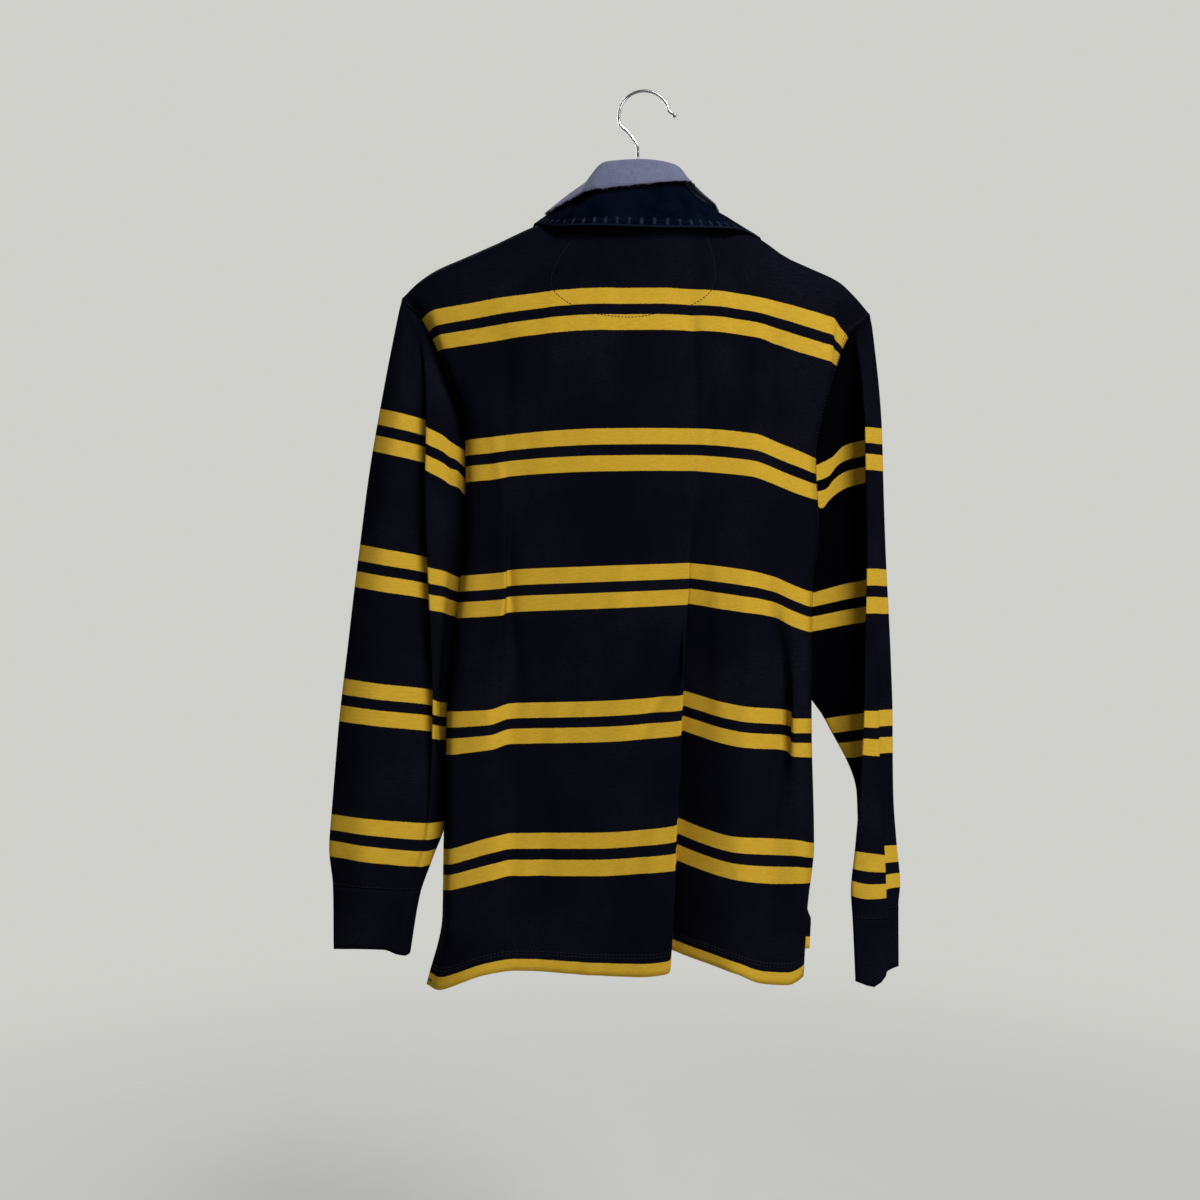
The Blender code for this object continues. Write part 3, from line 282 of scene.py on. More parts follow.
SLEEVES = (
    ("left", LEFT_AROUND, LEFT_ARMHOLE, LEFT_CAP_COURSES, LEFT_SECTIONS),
    ("right", RIGHT_AROUND, RIGHT_ARMHOLE, RIGHT_CAP_COURSES, RIGHT_SECTIONS),
)

# Round the collar, from its left end at the front, round the back of the neck, to its right end:
# how far round a place is, and how far across the panel that the collar is sewn to there
FRONT_SEAM = (
    (0, 249), (44, 229), (84, 212), (112, 198), (125, 193.5), (138, 190), (350, 310), (363, 306.5),
    (376, 302), (404, 288), (444, 271), (488, 251),
)
BACK_SEAM = ((138, 98), (176, 145), (210, 198), (242, 250), (274, 284), (312, 335), (350, 400))
# Each row has the middle of the collar's top roll, the navy fall's edge, how far from the one to
# the other the chambray's edge lies, and how many mm it stands off the line between them.
COLLAR_AROUND = (0, 44, 84, 112, 125, 138, 176, 210, 242, 274, 312, 350, 363, 376, 404, 444, 488)
COLLAR = (
    ("end_left", (-13, 189.5, 27), (-41, 252.5, 33), 0.08, 5),
    ("front_left", (-48, 165.5, 26), (-80, 233.5, 33), 0.1, 5),
    ("side_left", (-67, 136.5, 20), (-101, 187.5, 27), 0.2, 4.5),
    ("over_left", (-70, 110.5, 11), (-110, 144.5, 18), 0.45, 3.6),
    ("ridge_left", (-71, 107.5, 5), (-108, 133.5, 10), 0.58, 3.4),
    ("neck_left", (-73, 104.5, -2), (-106, 130.8, 0), 0.6, 3.4),
    ("quarter_left", (-54, 88.5, -19), (-86, 132.5, -30), 0.4, 4.5),
    ("back_left", (-36, 69.5, -34), (-46, 132.5, -49), 0.42, 6),
    ("back", (0, 67, -38), (-2, 134, -52), 0.36, 6),
    ("back_right", (33, 72.5, -35), (46, 134.5, -49), 0.25, 6),
    ("quarter_right", (48, 91.5, -20), (88, 135.5, -30), 0.1, 4),
    ("neck_right", (68, 110.5, -2), (115, 143.5, 0), 0.05, 3),
    ("ridge_right", (69, 112.5, 5), (118, 145.5, 10), 0.05, 3),
    ("over_right", (70, 115.5, 11), (122, 157.5, 18), 0.06, 3.5),
    ("side_right", (69, 140.5, 20), (108, 195.5, 27), 0.1, 4.5),
    ("front_right", (48, 167.5, 26), (82, 235.5, 33), 0.1, 5),
    ("end_right", (13, 190.5, 27), (41, 254.5, 33), 0.08, 5),
)
NECK_MIDDLE = (0.0, -3.0)  # right and deep
BAND_COURSES = (0, 34, 44, 54, 76)  # of the chambray band's sections
BAND_THIN = 0.8  # its thickness, as a share of the jersey's
FALL_COURSES = (0, 32, 40, 48, 72, 96)  # of the navy collar's sections
FALL_BULGE = 1.5  # how far the fall stands off the line from its fold to its edge
COLLAR_CALM = 50.0  # the collar's unevenness starts below this course
# The puckers of the fall's edge and the scallops of the chambray's: mm from one to the next, how much
# and over what length that wanders, over what distance down the cloth they fade, and how high they are
PUCKERS = (8.6, 0.15, 17.0, 3.5, 0.35)
SCALLOPS = (13.0, 0.3, 23.0, 5.0, 0.55)

# The hook, by places (right, below): where its stem stands and bends, its arc in degrees and its tip
STEM_RIGHT = -4.2
STEM_BEND = ((-4.2, 62), (-4.2, 57.5), (-4.7, 53), (-7.6, 48.3), (-14, 40))
HOOK_ARC = (198, 25)
HOOK_TIP = ((26.3, 17.4), (30.6, 21.4))
ARC_PLACES, WIRE_STEP = 40, 1.5  # places on the arc, and mm from one ring of the wire to the next
BALL_TURN, BALL_RINGS = (-60, 88), 12  # degrees that the ball at the tip spans, from behind to ahead
FERRULE_RADIUS, FERRULE_HIGH, FERRULE_SIDES = 4.5, 5.0, 24
# The ferrule from its foot up: shares of its radius, and mm
FERRULE_PROFILE = (
    (0.02, 0), (0.9, 0), (1, 0.3), (1, 1.2), (0.92, 1.5), (0.92, 2), (1, 2.3), (1, 4), (0.85, 4.7), (0.35, 5),
)
WIRE_SIDES = 20
# Round a button, from its near face's middle over its rim to its far face: shares of its radius
# and of its thickness
BUTTON_PROFILE = (
    (0.02, 0.22), (0.5, 0.24), (0.62, 0.34), (0.74, 0.5), (0.88, 0.48), (0.97, 0.3), (1.0, 0.05),
    (0.98, -0.3), (0.86, -0.5), (0.02, -0.5),
)
BUTTON_SEWN = (1.1, 1.6)  # half the distance between a button's two stitches, and half their length

# Creases beside the main folds: mm that the cloth stands proud, or sinks where less than 0, half
# its width in mm, and its line, (across, course)
BACK_CREASES = (
    (-3.6, 11, ((88, 84), (90, 130), (93, 205))),
    (-3.0, 11, ((284, 92), (288, 140), (290, 205))),
    (-3.4, 12, ((418, 90), (416, 140), (425, 215))),
    (1.5, 9, ((385, 70), (392, 130), (398, 200), (402, 290))),
    (1.2, 12, ((140, 380), (143, 470), (146, 600))),
    (1.0, 14, ((212, 300), (214, 400), (213, 520))),
    (-1.2, 12, ((180, 250), (178, 350), (181, 470))),
    (-7.0, 8, ((282, 396), (278, 426), (268, 456), (252, 486), (236, 524))),
    (2.4, 9, ((262, 392), (254, 430), (238, 472))),
    (-3.8, 9, ((104, 285), (106, 360), (107, 430), (108, 500))),
    (-2.0, 6, ((484, 48), (482, 84), (478, 122))),
    (1.2, 6, ((470, 48), (469, 84), (466, 122))),
    (-4.5, 9, ((434, 340), (438, 420), (438, 500), (434, 575))),
    (1.6, 7, ((372, 330), (376, 420), (378, 520))),
    (-1.6, 6, ((462, 398), (450, 412), (444, 428))),
    (-1.4, 5, ((466, 420), (452, 436), (447, 450))),
    (-1.2, 5, ((468, 446), (456, 458), (450, 470))),
    (1.6, 7, ((112, 640), (104, 690), (90, 760))),
    (-1.6, 9, ((128, 650), (126, 700), (124, 765))),
    (1.4, 12, ((330, 600), (344, 680), (350, 765))),
    (-1.4, 10, ((388, 610), (392, 690), (390, 765))),
    (-1.0, 7, ((40, 250), (52, 330), (58, 420))),
    (1.0, 8, ((30, 440), (36, 560), (40, 690))),
)
FRONT_CREASES = (
    (-2.4, 12, ((60, 90), (84, 150), (96, 240))),
    (-2.2, 12, ((436, 92), (420, 150), (410, 240))),
    (2.0, 12, ((150, 230), (148, 360), (140, 520), (138, 700))),
    (-2.2, 12, ((178, 250), (180, 400), (176, 560), (180, 735))),
    (2.0, 13, ((352, 240), (356, 380), (362, 560), (360, 720))),
    (-2.4, 12, ((322, 260), (324, 400), (328, 560), (322, 735))),
    (-2.0, 10, ((430, 300), (436, 420), (432, 600))),
    (-1.8, 10, ((62, 300), (56, 430), (66, 610))),
    (-1.4, 7, ((232, 240), (226, 262), (214, 286))),
    (-1.4, 7, ((268, 240), (276, 266), (290, 292))),
    (1.4, 10, ((250, 250), (252, 420), (246, 640))),
)
SLEEVE_CREASES = (
    (
        (-1.6, 6, ((34, 60), (46, 90), (60, 130))),
        (1.2, 7, ((20, 90), (26, 200), (24, 330))),
        (-1.8, 6, ((100, 372), (110, 404), (124, 430))),
        (-1.6, 5, ((96, 404), (108, 436), (122, 462))),
        (1.3, 5, ((98, 388), (110, 420), (122, 446))),
        (-1.4, 7, ((30, 420), (44, 470), (58, 540))),
        (1.3, 8, ((12, 400), (20, 470), (26, 560))),
        (-1.4, 9, ((200, 120), (210, 260), (206, 400))),
        (1.4, 9, ((226, 130), (232, 280), (228, 460))),
        (-1.3, 6, ((190, 440), (214, 470), (244, 480))),
        (-1.2, 6, ((262, 430), (244, 462), (216, 500))),
        (-1.0, 4, ((16, 560), (18, 580), (17, 593))),
        (-1.0, 4, ((48, 556), (46, 578), (47, 593))),
        (-1.0, 4, ((210, 560), (212, 580), (211, 593))),
        (-1.0, 4, ((252, 556), (250, 580), (251, 593))),
    ),
    (
        (-1.4, 6, ((60, 120), (74, 180), (84, 250))),
        (1.2, 7, ((96, 200), (92, 300), (94, 380))),
        (-1.4, 6, ((64, 400), (76, 440), (84, 500))),
        (-1.4, 8, ((176, 120), (184, 260), (180, 400))),
        (1.3, 9, ((206, 130), (210, 280), (204, 440))),
        (-1.3, 6, ((166, 430), (186, 462), (212, 474))),
        (-1.2, 6, ((226, 420), (208, 456), (186, 492))),
        (-1.0, 4, ((24, 566), (25, 580), (24, 593))),
        (-1.0, 4, ((60, 560), (62, 580), (61, 593))),
        (-1.0, 4, ((176, 560), (178, 580), (177, 593))),
        (-1.0, 4, ((218, 558), (216, 580), (217, 593))),
    ),
)
COLLAR_CREASES = (
    (-0.9, 10, ((180, 56), (190, 72), (186, 88))),
    (0.8, 12, ((240, 54), (236, 72), (244, 86))),
    (-0.8, 9, ((300, 54), (292, 70), (300, 86))),
    (-0.8, 9, ((96, 54), (90, 70), (98, 88))),
    (-0.8, 9, ((400, 54), (406, 72), (398, 88))),
)
RIPPLES = 16  # how many faint waves make the cloth uneven
RIPPLE_ACROSS, RIPPLE_DOWN = (26.0, 110.0), (90.0, 420.0)  # their lengths
RIPPLE_HIGH = 0.32
CALM_EDGE = 14.0  # the unevenness fades out over this distance from a seam
CUFF_CALM = 3.0  # and this many times as fast beside a cuff's seam
RIPPLE_SEEDS = {"back": 3, "front": 5, "left": 7, "right": 8, "fall": 11, "band": 13, "placket": 17}
# How high a piece's ripples are, where it isn't the usual height, as a share of that
RIPPLE_SHARES = {"sleeve": 1.4, "cuff": 0.7, "band": 0.5, "placket": 0.3}

# Stitching, in mm. The half moon goes through these places, (across, course)
HALF_MOON = (
    (121, 4), (129, 40), (143, 70), (161, 85), (190, 97), (224, 100), (246, 96.5), (286, 85),
    (326, 70.5), (346, 40), (356, 4),
)
SEAM_STITCH = 5.0  # from an armhole's edge to its topstitching
ARMHOLE_STITCHED = (6, 140, 284)  # courses that it runs through
HEM_STITCHES = (5.5, 9.0)  # from the top of the hem's stripe up to its two rows
HEM_ENDS = 4.0  # from a panel's sides to where these end
COLLAR_STITCH = 5.5  # from the collar's edge
COLLAR_LINE = ((5, -8), (12, 0), (244, 0), (476, 0), (483, -8))  # its stitching, from that course
CUFF_STITCH = 2.5  # above the cuff's seam
RING_OPEN = 0.01  # a row round a sleeve ends this far short of its start
PLACKET_STITCH = 2.2  # from the placket's edge
PLACKET_STITCHED = (96, 150)  # courses from which its sides are sewn down
PLACKET_BOX = 22.0  # height of the box sewn at its foot
TACK_LONG, TACK_OUT = 9.0, 3.0  # a bar tack's length, and how far outside the topstitching it starts
TACK_HALF, TACK_ROWS = 1.2, 5  # half its height, and how many rows of stitches fill it
TACK_BELOW = 7.0  # from the top of the hem's stripe down to a vent's lower tack
# The frayed threads: how many, how far from the band's ends, their lengths and how far they stray
FRAY_THREADS, FRAY_ENDS, FRAY_LONG, FRAY_LOOSE = 420, 4.0, (0.9, 2.3), 0.4
FRAY_SEED = 19
# Along a stitch: share of its length, share of its width, and how far it rises, in shares
BEAD_RINGS = ((0.02, 0.3, -0.6), (0.22, 1, 0.25), (0.78, 1, 0.25), (0.98, 0.3, -0.6))
BEAD_SIDES = 5

# Stripes, by courses in mm: the first pair's upper edge, and from one pair to the next
BODY_STRIPES = (70.0, 137.5)
SLEEVE_STRIPES = (113.0, 136.7)
STRIPE_SOFT = 0.3  # a stripe's edge blurs over this distance to either side
STRIPE_LEAD = 30.0  # how much cloth before a pair is counted with it
BACK_BAND, FRONT_BAND = 752.0, 722.0  # where the hem's stripe starts
STRIPES_BEGIN = (4.0, 3.0)  # the pattern fades in between these distances above the first pair
PAINTED_SHADE_AROUND = (52.0, 160.0)  # round the right sleeve, where its navy is painted deeper as shade on the dark side of its folds
PAINTED_SHADE_SOFT = (3.0, 9.0)  # that painted shade begins and ends over these distances to either side
VENT_COURSE = 690.0  # where the vents in the side seams open

# The cloths' relief, in mm: from one column of stitches to the next, and from a stitch to the one below
JERSEY_KNIT, CUFF_KNIT = (1.15, 1.0), (1.6, 0.9)
TWILL_RIBS = 1.1  # from one diagonal rib to the next
DARK_SHINE = 0.004  # how strongly the dark cloths gleam

# What each piece was cut to, in metres: width, length and, where it isn't a rectangle, area
BACK_CUT = (0.53, 0.79, 0.39)
FRONT_CUT = (0.53, 0.76, 0.37)

# The stage, in metres. Each light has its place, width and watts
FLOOR_Z, FLOOR_RADIUS, FLOOR_SIDES = -1.75, 12.0, 64
LIGHTS = (
    ("ceiling_light", (1.2, -2.6, 2.0), 1.3, 137),
    ("window_light", (2.6, -3.4, 0.2), 1.7, 57),
    ("far_light", (-0.9, 2.2, 0.9), 1.5, 45),
)
FLOOR_FADES = (0.8, 3.2)  # the floor melts into the surroundings between these radii
# The room is paler behind the shirt than before it, and turns between these shares of +Y
ROOM_BEHIND, ROOM_BEFORE, ROOM_TURNS = (0.63, 0.63, 0.60), (0.14, 0.14, 0.14), (-0.1, 0.5)
PICTURE_WIDE = 1200.0  # mm across the picture at the hanger
DOWN = np.array([0, 1, 0])  # among places


def smooth(knots, values, at):
    """Values at new places on a smooth curve through the knots, which never overshoots them."""
    knots, at = np.asarray(knots, float), np.asarray(at, float)
    values = np.asarray(values, float)
    flat = values.reshape(len(knots), -1)
    step = np.diff(knots)[:, None]
    slope = np.diff(flat, axis=0) / step
    before, after = slope[:-1], slope[1:]
    first, second = 2 * step[1:] + step[:-1], step[1:] + 2 * step[:-1]
    turning = before * after <= 0
    safe_before, safe_after = np.where(turning, 1, before), np.where(turning, 1, after)
    mean = (first + second) / (first / safe_before + second / safe_after)
    tangent = np.vstack([slope[:1], np.where(turning, 0, mean), slope[-1:]])
    left = np.clip(np.searchsorted(knots, at, side="right") - 1, 0, len(knots) - 2)
    t = ((at - knots[left]) / step[left, 0])[:, None]
    h = step[left]
    found = (
        flat[left] * (1 + 2 * t) * (1 - t) ** 2
        + tangent[left] * h * t * (1 - t) ** 2
        + flat[left + 1] * t * t * (3 - 2 * t)
        + tangent[left + 1] * h * t * t * (t - 1)
    )
    return found.reshape(at.shape + values.shape[1:])


def smooth_ring(knots, values, at):
    """The same round a closed ring; the last knot is where the ring comes back to its start."""
    knots, values = np.asarray(knots, float), np.asarray(values, float)
    whole = knots[-1] - knots[0]
    wide = np.concatenate([knots[-3:-1] - whole, knots[:-1], knots[:3] + whole])
    return smooth(wide, np.concatenate([values[-2:], values, values[:3]]), at)


def divided(knots, longest):
    """Places that take in every knot, with no step much longer than the longest."""
    places = [
        np.linspace(a, b, max(1, round((b - a) / longest)), endpoint=False)
        for a, b in zip(knots[:-1], knots[1:])
    ]
    return np.concatenate([*places, knots[-1:]])


def with_courses(sections):
    """The sections as an array (section, station, right-below-deep-course), and their courses."""
    places = np.array([section[2:] for section in sections], float)
    courses = np.array([section[1] for section in sections], float)
    column = np.broadcast_to(courses[:, None, None], places.shape[:2] + (1,))
    return np.concatenate([places, column], axis=2), courses


def seen(places):
    """The real places, in metres, of places given as the eye sees them."""
    scale = (EYE_AWAY + places[..., 2]) / EYE_AWAY
    x = EYE_RIGHT + (places[..., 0] - EYE_RIGHT) * scale
    below = EYE_BELOW + (places[..., 1] - EYE_BELOW) * scale
    return np.stack([x, places[..., 2], -below], axis=-1) / 1000


def along(line, right):
    """How far below the origin and how deep a line of places is, at some places to the right."""
    line = np.array(line, float)
    return smooth(line[:, 0], line[:, 1:], right)


def passed_along(line):
    """The length of a line up to each of its points."""
    return np.concatenate([[0], np.cumsum(np.linalg.norm(np.diff(line, axis=0), axis=1))])


def rounded_shoulder(top, toward):
    """The section just below the top one, where the cloth has run over the hanger's shoulder."""
    tips = SHOULDER_LINE[0][0], SHOULDER_LINE[-1][0]
    from_tip = np.minimum(top[:, 0] - tips[0], tips[1] - top[:, 0])
    share = np.interp(from_tip, SHOULDER_TIP, (0, 1))
    over = top.copy()
    over[:, 1] += SHOULDER_DROP
    over[:, 2] += toward * SHOULDER_ROUND * share
    over[:, 3] += SHOULDER_ROUND
    return over


def back_rows(across):
    """The back's sections, dense across the cloth, and the courses where they lie."""
    table, courses = with_courses(BACK_SECTIONS)
    rows = smooth(BACK_ACROSS, table.swapaxes(0, 1), across).swapaxes(0, 1)
    rows[0, :, 1:3] = along(SHOULDER_LINE, rows[0, :, 0])
    rows[0, :, 3] = rows[1, :, 3] - (rows[1, :, 1] - rows[0, :, 1])
    over = rounded_shoulder(rows[0], -1)
    rows = np.concatenate([rows[:1], over[None], rows[1:]])
    return rows, np.concatenate([courses[:1], [SHOULDER_ROUND], courses[1:]])


def back_edge(side, courses):
    """Places on the back's left edge, side 0, or its right edge, side 1."""
    rows, at = back_rows(np.array([BACK_ACROSS[0], BACK_ACROSS[-1]], float))
    return smooth(at, rows[:, side], courses)


def front_rows(across):
    """The front's sections, dense across the cloth, and the courses where they lie."""
    top, top_at = with_courses(FRONT_TOP)
    top[..., 3] = FRONT_TOP_COURSES
    share = (np.array(FRONT_ACROSS) / FRONT_ACROSS[-1])[:, None]
    sections = []
    for _, course, rise, deeps in FRONT_SECTIONS:
        left, right = (back_edge(side, np.array([course]))[0] for side in (0, 1))
        section = left + (right - left) * share
        section[:, 1] -= rise * 4 * share[:, 0] * (1 - share[:, 0])
        section[1:-1, 2] = deeps
        section[[0, -1], 2] += SIDE_GAP
        section[:, 3] = course
        sections.append(section)
    table = np.concatenate([top, np.array(sections)])
    rows = smooth(FRONT_ACROSS, table.swapaxes(0, 1), across).swapaxes(0, 1)
    right = rows[0, :, 0]
    inside = np.minimum(right - NECK_LINE[0][0], NECK_LINE[-1][0] - right)
    neckline = along(NECK_LINE, np.clip(right, NECK_LINE[0][0], NECK_LINE[-1][0]))
    shoulders = along(SHOULDER_LINE, right) + np.array([0, SIDE_GAP])
    rows[0, :, 1:3] = np.where((inside > 0)[:, None], neckline, shoulders)
    over = rounded_shoulder(rows[0], np.interp(inside, (0, NECK_ROUND), (1, 0)))
    rows = np.concatenate([rows[:1], over[None], rows[1:]])
    at = [top_at[0], SHOULDER_ROUND, top_at[1], *(section[1] for section in FRONT_SECTIONS)]
    return rows, np.array(at, float)


def armhole(side, ends, around, at):
    """The sleeve's top edge round the armhole: the body's edge moved outwards."""
    body_course, own_course, hidden = smooth_ring(around, ends, at).T
    edge = back_edge(side, body_course)
    edge[:, 0] += ARMHOLE_GAP * (1 if side else -1)
    edge[:, 2] += SIDE_GAP * hidden
    edge[:, 3] = own_course
    return edge


def sleeve_rows(side, at):
    """A sleeve's sections from the armhole to the cuff's end, dense round the tube."""
    _, around, ends, cap_courses, sections = SLEEVES[side]
    table, courses = with_courses(sections)
    table[0, :, 3] = cap_courses
    steps = np.linalg.norm(table[1, :, :2] - table[0, :, :2], axis=1)
    table[1, :, 3] = np.maximum(table[1, :, 3], table[0, :, 3] + steps)
    rows = smooth_ring(around, table.swapaxes(0, 1), at).swapaxes(0, 1)
    top = armhole(side, ends, around, at)
    return np.concatenate([top[None], rows]), np.concatenate([[0], courses])


def facing(points, closed):
    """Unit normals of a grid of points."""
    across = np.gradient(points, axis=1)
    if closed:
        across = np.roll(points, -1, axis=1) - np.roll(points, 1, axis=1)
    normal = np.cross(across, np.gradient(points, axis=0))
    return normal / np.maximum(np.linalg.norm(normal, axis=2, keepdims=True), 1e-12)


def neck_seam(around):
    """The panels' top edges at the neck, at some places round the collar."""
    front, back = np.array(FRONT_SEAM, float), np.array(BACK_SEAM, float)
    on_front = front_rows(smooth(front[:, 0], front[:, 1], around))[0][0]
    behind = np.clip(around, back[0, 0], back[-1, 0])
    on_back = back_rows(smooth(back[:, 0], back[:, 1], behind))[0][0]
    return np.where((around == behind)[:, None], on_back, on_front)[:, :3]


def collar_places(around):
    """At some places round the collar: its seam, roll and fall's edge, the chambray's lip, and the
    level direction away from the neck."""
    tables = (np.array([row[part] for row in COLLAR], float) for part in (1, 2, 3, 4))
    roll, edge, share, off = (smooth(COLLAR_AROUND, table, around) for table in tables)
    away = roll[:, [0, 2]] - np.array(NECK_MIDDLE)
    away = away / np.linalg.norm(away, axis=1, keepdims=True)
    out = np.stack([away[:, 0], np.zeros(len(away)), away[:, 1]], axis=1)
    seam = neck_seam(around) - DOWN * COLLAR_RISE - out * COLLAR_IN
    lip = roll + (edge - roll) * share[:, None] + out * off[:, None]
    return seam, roll, edge, lip, out


def turned_over(seam, roll, out, half, below):
    """The sections where a layer of the collar turns over its top: up, over and down."""
    high = (seam - roll)[:, 1:2]
    share = np.minimum(1, high / TALL_STAND)
    leaning = (seam - roll) / high * share
    top = roll + leaning * below
    return top - out * half + leaning * FOLD_DEEP, top, top + out * half + DOWN * share * FOLD_DEEP


def neckband_sections(around):
    """The chambray band: from the neck seam, up inside the collar and out over its top."""
    seam, roll, _, lip, out = collar_places(around)
    return [seam - out * COLLAR_LAYER, *turned_over(seam, roll, out, CHAMBRAY_ROLL, 0), lip]


def fall_sections(around):
    """The navy collar: its stand up from the neck seam, its fold and its fall."""
    seam, roll, edge, _, out = collar_places(around)
    folds = turned_over(seam, roll, out, NAVY_ROLL, NAVY_LOWER)
    return [seam, *folds, (folds[2] + edge) / 2 + out * FALL_BULGE, edge]


class Form(NamedTuple):
    """A piece of cloth laid out in space: a grid of points, in metres, with its directions."""

    name: str
    across: np.ndarray  # mm across the cloth, one more than the columns where it is a tube
    down: np.ndarray
    courses: np.ndarray
    points: np.ndarray
    normals: np.ndarray  # outwards
    reverse: bool  # whether the grid's own normals point inwards
    tube: bool


def crease_height(across, down, creases):
    """How far the cloth stands proud of its smooth form, in mm, from its creases."""
    found = np.zeros(across.shape)
    for high, half, line in creases:
        line = np.array(line, float)
        steps, before = np.diff(line, axis=0), passed_along(line)
        lengths = np.linalg.norm(steps, axis=1)
        nearest, share = np.full(across.shape, np.inf), np.zeros(across.shape)
        for (start_x, start_y), (step_x, step_y), length, passed in zip(
            line[:-1], steps, lengths, before
        ):
            t = ((across - start_x) * step_x + (down - start_y) * step_y) / length**2
            t = np.clip(t, 0, 1)
            away = np.hypot(across - start_x - t * step_x, down - start_y - t * step_y)
            closer = away < nearest
            nearest = np.where(closer, away, nearest)
            share = np.where(closer, (passed + t * length) / before[-1], share)
        taper = np.sin(np.pi * np.clip(share, 0.04, 0.96)) ** 0.6
        found += high * taper * np.exp(-((nearest / half) ** 2))
    return found


def ripple_height(across, down, seed, whole=None):
    """Faint uneven waves, in mm. Round a tube of a whole width they meet themselves."""
    chance = np.random.default_rng(seed)
    found = np.zeros(across.shape)
    for _ in range(RIPPLES):
        length = chance.uniform(*RIPPLE_ACROSS)
        turns = 1 / length if whole is None else max(1, round(whole / length)) / whole
        lean = chance.uniform(-1, 1) / chance.uniform(*RIPPLE_DOWN)
        found += np.sin(2 * np.pi * (across * turns + down * lean + chance.random()))
    return found * RIPPLE_HIGH / math.sqrt(RIPPLES / 2)


def calm(distance):
    """0 at a seam, rising to 1 at some distance from it."""
    share = np.clip(distance / CALM_EDGE, 0, 1)
    return share * share * (3 - 2 * share)


def form_of(name, places, across, down, outward, height, tube=False):
    """A form from a grid of places, raised by a height in mm along its outward normals. Outward is
    the way that these roughly point, which a tube finds itself."""
    middle = seen(places[..., :3])
    normal = facing(middle, tube)
    if tube:
        outward = middle - middle.mean(axis=1, keepdims=True)
    reverse = bool((normal * outward).sum() < 0)
    normal = -normal if reverse else normal
    points = middle + normal * height[..., None] / 1000
    return Form(name, across, down, places[..., 3], points, normal, reverse, tube)


def back_form(depth):
    """The back's form, with its creases as deep as a share says."""
    across = divided(BACK_ACROSS, CELL_ACROSS)
    rows, courses = back_rows(across)
    down = divided(courses, CELL_DOWN)
    u, v = np.meshgrid(across, down)
    height = crease_height(u, v, BACK_CREASES) + ripple_height(u, v, RIPPLE_SEEDS["back"])
    height *= depth * calm(np.minimum(u, BACK_ACROSS[-1] - u)) * calm(v - SHOULDER_ROUND)
    return form_of("back_cloth", smooth(courses, rows, down), across, down, np.array((0, -1, 0)), height)


def front_form(depth):
    """The front's form, whose side edges lie on the back's."""
    necks = [FRONT_STATIONS.index(name) for name in ("neck_left", "neck_right")]
    fine = divided(FRONT_ACROSS[necks[0] : necks[1] + 1], CELL_ACROSS / 2)
    across = np.union1d(divided(FRONT_ACROSS, CELL_ACROSS), fine)
    rows, courses = front_rows(across)
    down = divided(courses, CELL_DOWN)
    places = smooth(courses, rows, down)
    for side in (0, 1):
        places[:, -side] = back_edge(side, down) + np.array([0, 0, SIDE_GAP, 0])
    places[:, -1, 0] += VENT_FLARE * calm(down - VENT_COURSE)
    u, v = np.meshgrid(across, down)
    height = crease_height(u, v, FRONT_CREASES) + ripple_height(u, v, RIPPLE_SEEDS["front"])
    height *= depth * calm(np.minimum(u, FRONT_ACROSS[-1] - u)) * calm(v - SHOULDER_ROUND)
    return form_of("front_cloth", places, across, down, np.array((0, 1, 0)), height)


def sleeve_forms(side, depth):
    """The forms of a sleeve and of its cuff."""
    name, around = SLEEVES[side][:2]
    across = divided(around, CELL_ACROSS)
    rows, courses = sleeve_rows(side, across[:-1])
    seam, end = CUFF_COURSES
    to_seam = divided([course for course in courses if course <= seam], CELL_DOWN)
    forms = []
    for piece, down in (("sleeve", to_seam), ("cuff", np.linspace(seam, end, CUFF_ROWS))):
        u, v = np.meshgrid(across[:-1], down)
        height = ripple_height(u, v, RIPPLE_SEEDS[name], around[-1]) * RIPPLE_SHARES[piece]
        height += crease_height(u, v, SLEEVE_CREASES[side])
        height *= depth * calm(v) * calm(np.abs(v - seam) * CUFF_CALM)
        places = smooth(courses, rows, down)
        forms.append(form_of(f"{piece}_{name}_cloth", places, across, down, None, height, tube=True))
    return forms


def collar_form(name, courses, sections, height):
    """A form of one of the collar's layers, from its sections and its unevenness."""
    around, down = divided(COLLAR_AROUND, CELL_ACROSS), divided(courses, COLLAR_CELL)
    places = smooth(courses, np.array(sections(around)), down)
    column = np.broadcast_to(down[:, None, None], places.shape[:2] + (1,))
    places = np.concatenate([places, column], axis=2)
    outward = np.zeros(places.shape[:2] + (3,))
    outward[-1] = seen(places[-1, :, :3]) - np.array([0, NECK_MIDDLE[1] / 1000, 0])
    outward[..., 2] = 0
    return form_of(name, places, around, down, outward, height(*np.meshgrid(around, down)))


def edge_waves(around, away, waves):
    """Puckers or scallops along a line round the collar, in mm, at distances away from it."""
    long, wander, wander_long, fade, high = waves
    wave = np.sin(2 * np.pi * (around / long + wander * np.sin(around / wander_long)))
    return high * wave * np.exp(-((away / fade) ** 2))


def fall_form(depth):
    """The navy collar, puckered between its edge and its topstitching."""

    def height(around, down):
        puckers = edge_waves(around, down - FALL_COURSES[-1] + COLLAR_STITCH, PUCKERS)
        ripple = ripple_height(around, down, RIPPLE_SEEDS["fall"])
        ripple += crease_height(around, down, COLLAR_CREASES)
        return puckers + ripple * calm(down - COLLAR_CALM) * depth

    return collar_form("collar_fall_cloth", FALL_COURSES, fall_sections, height)


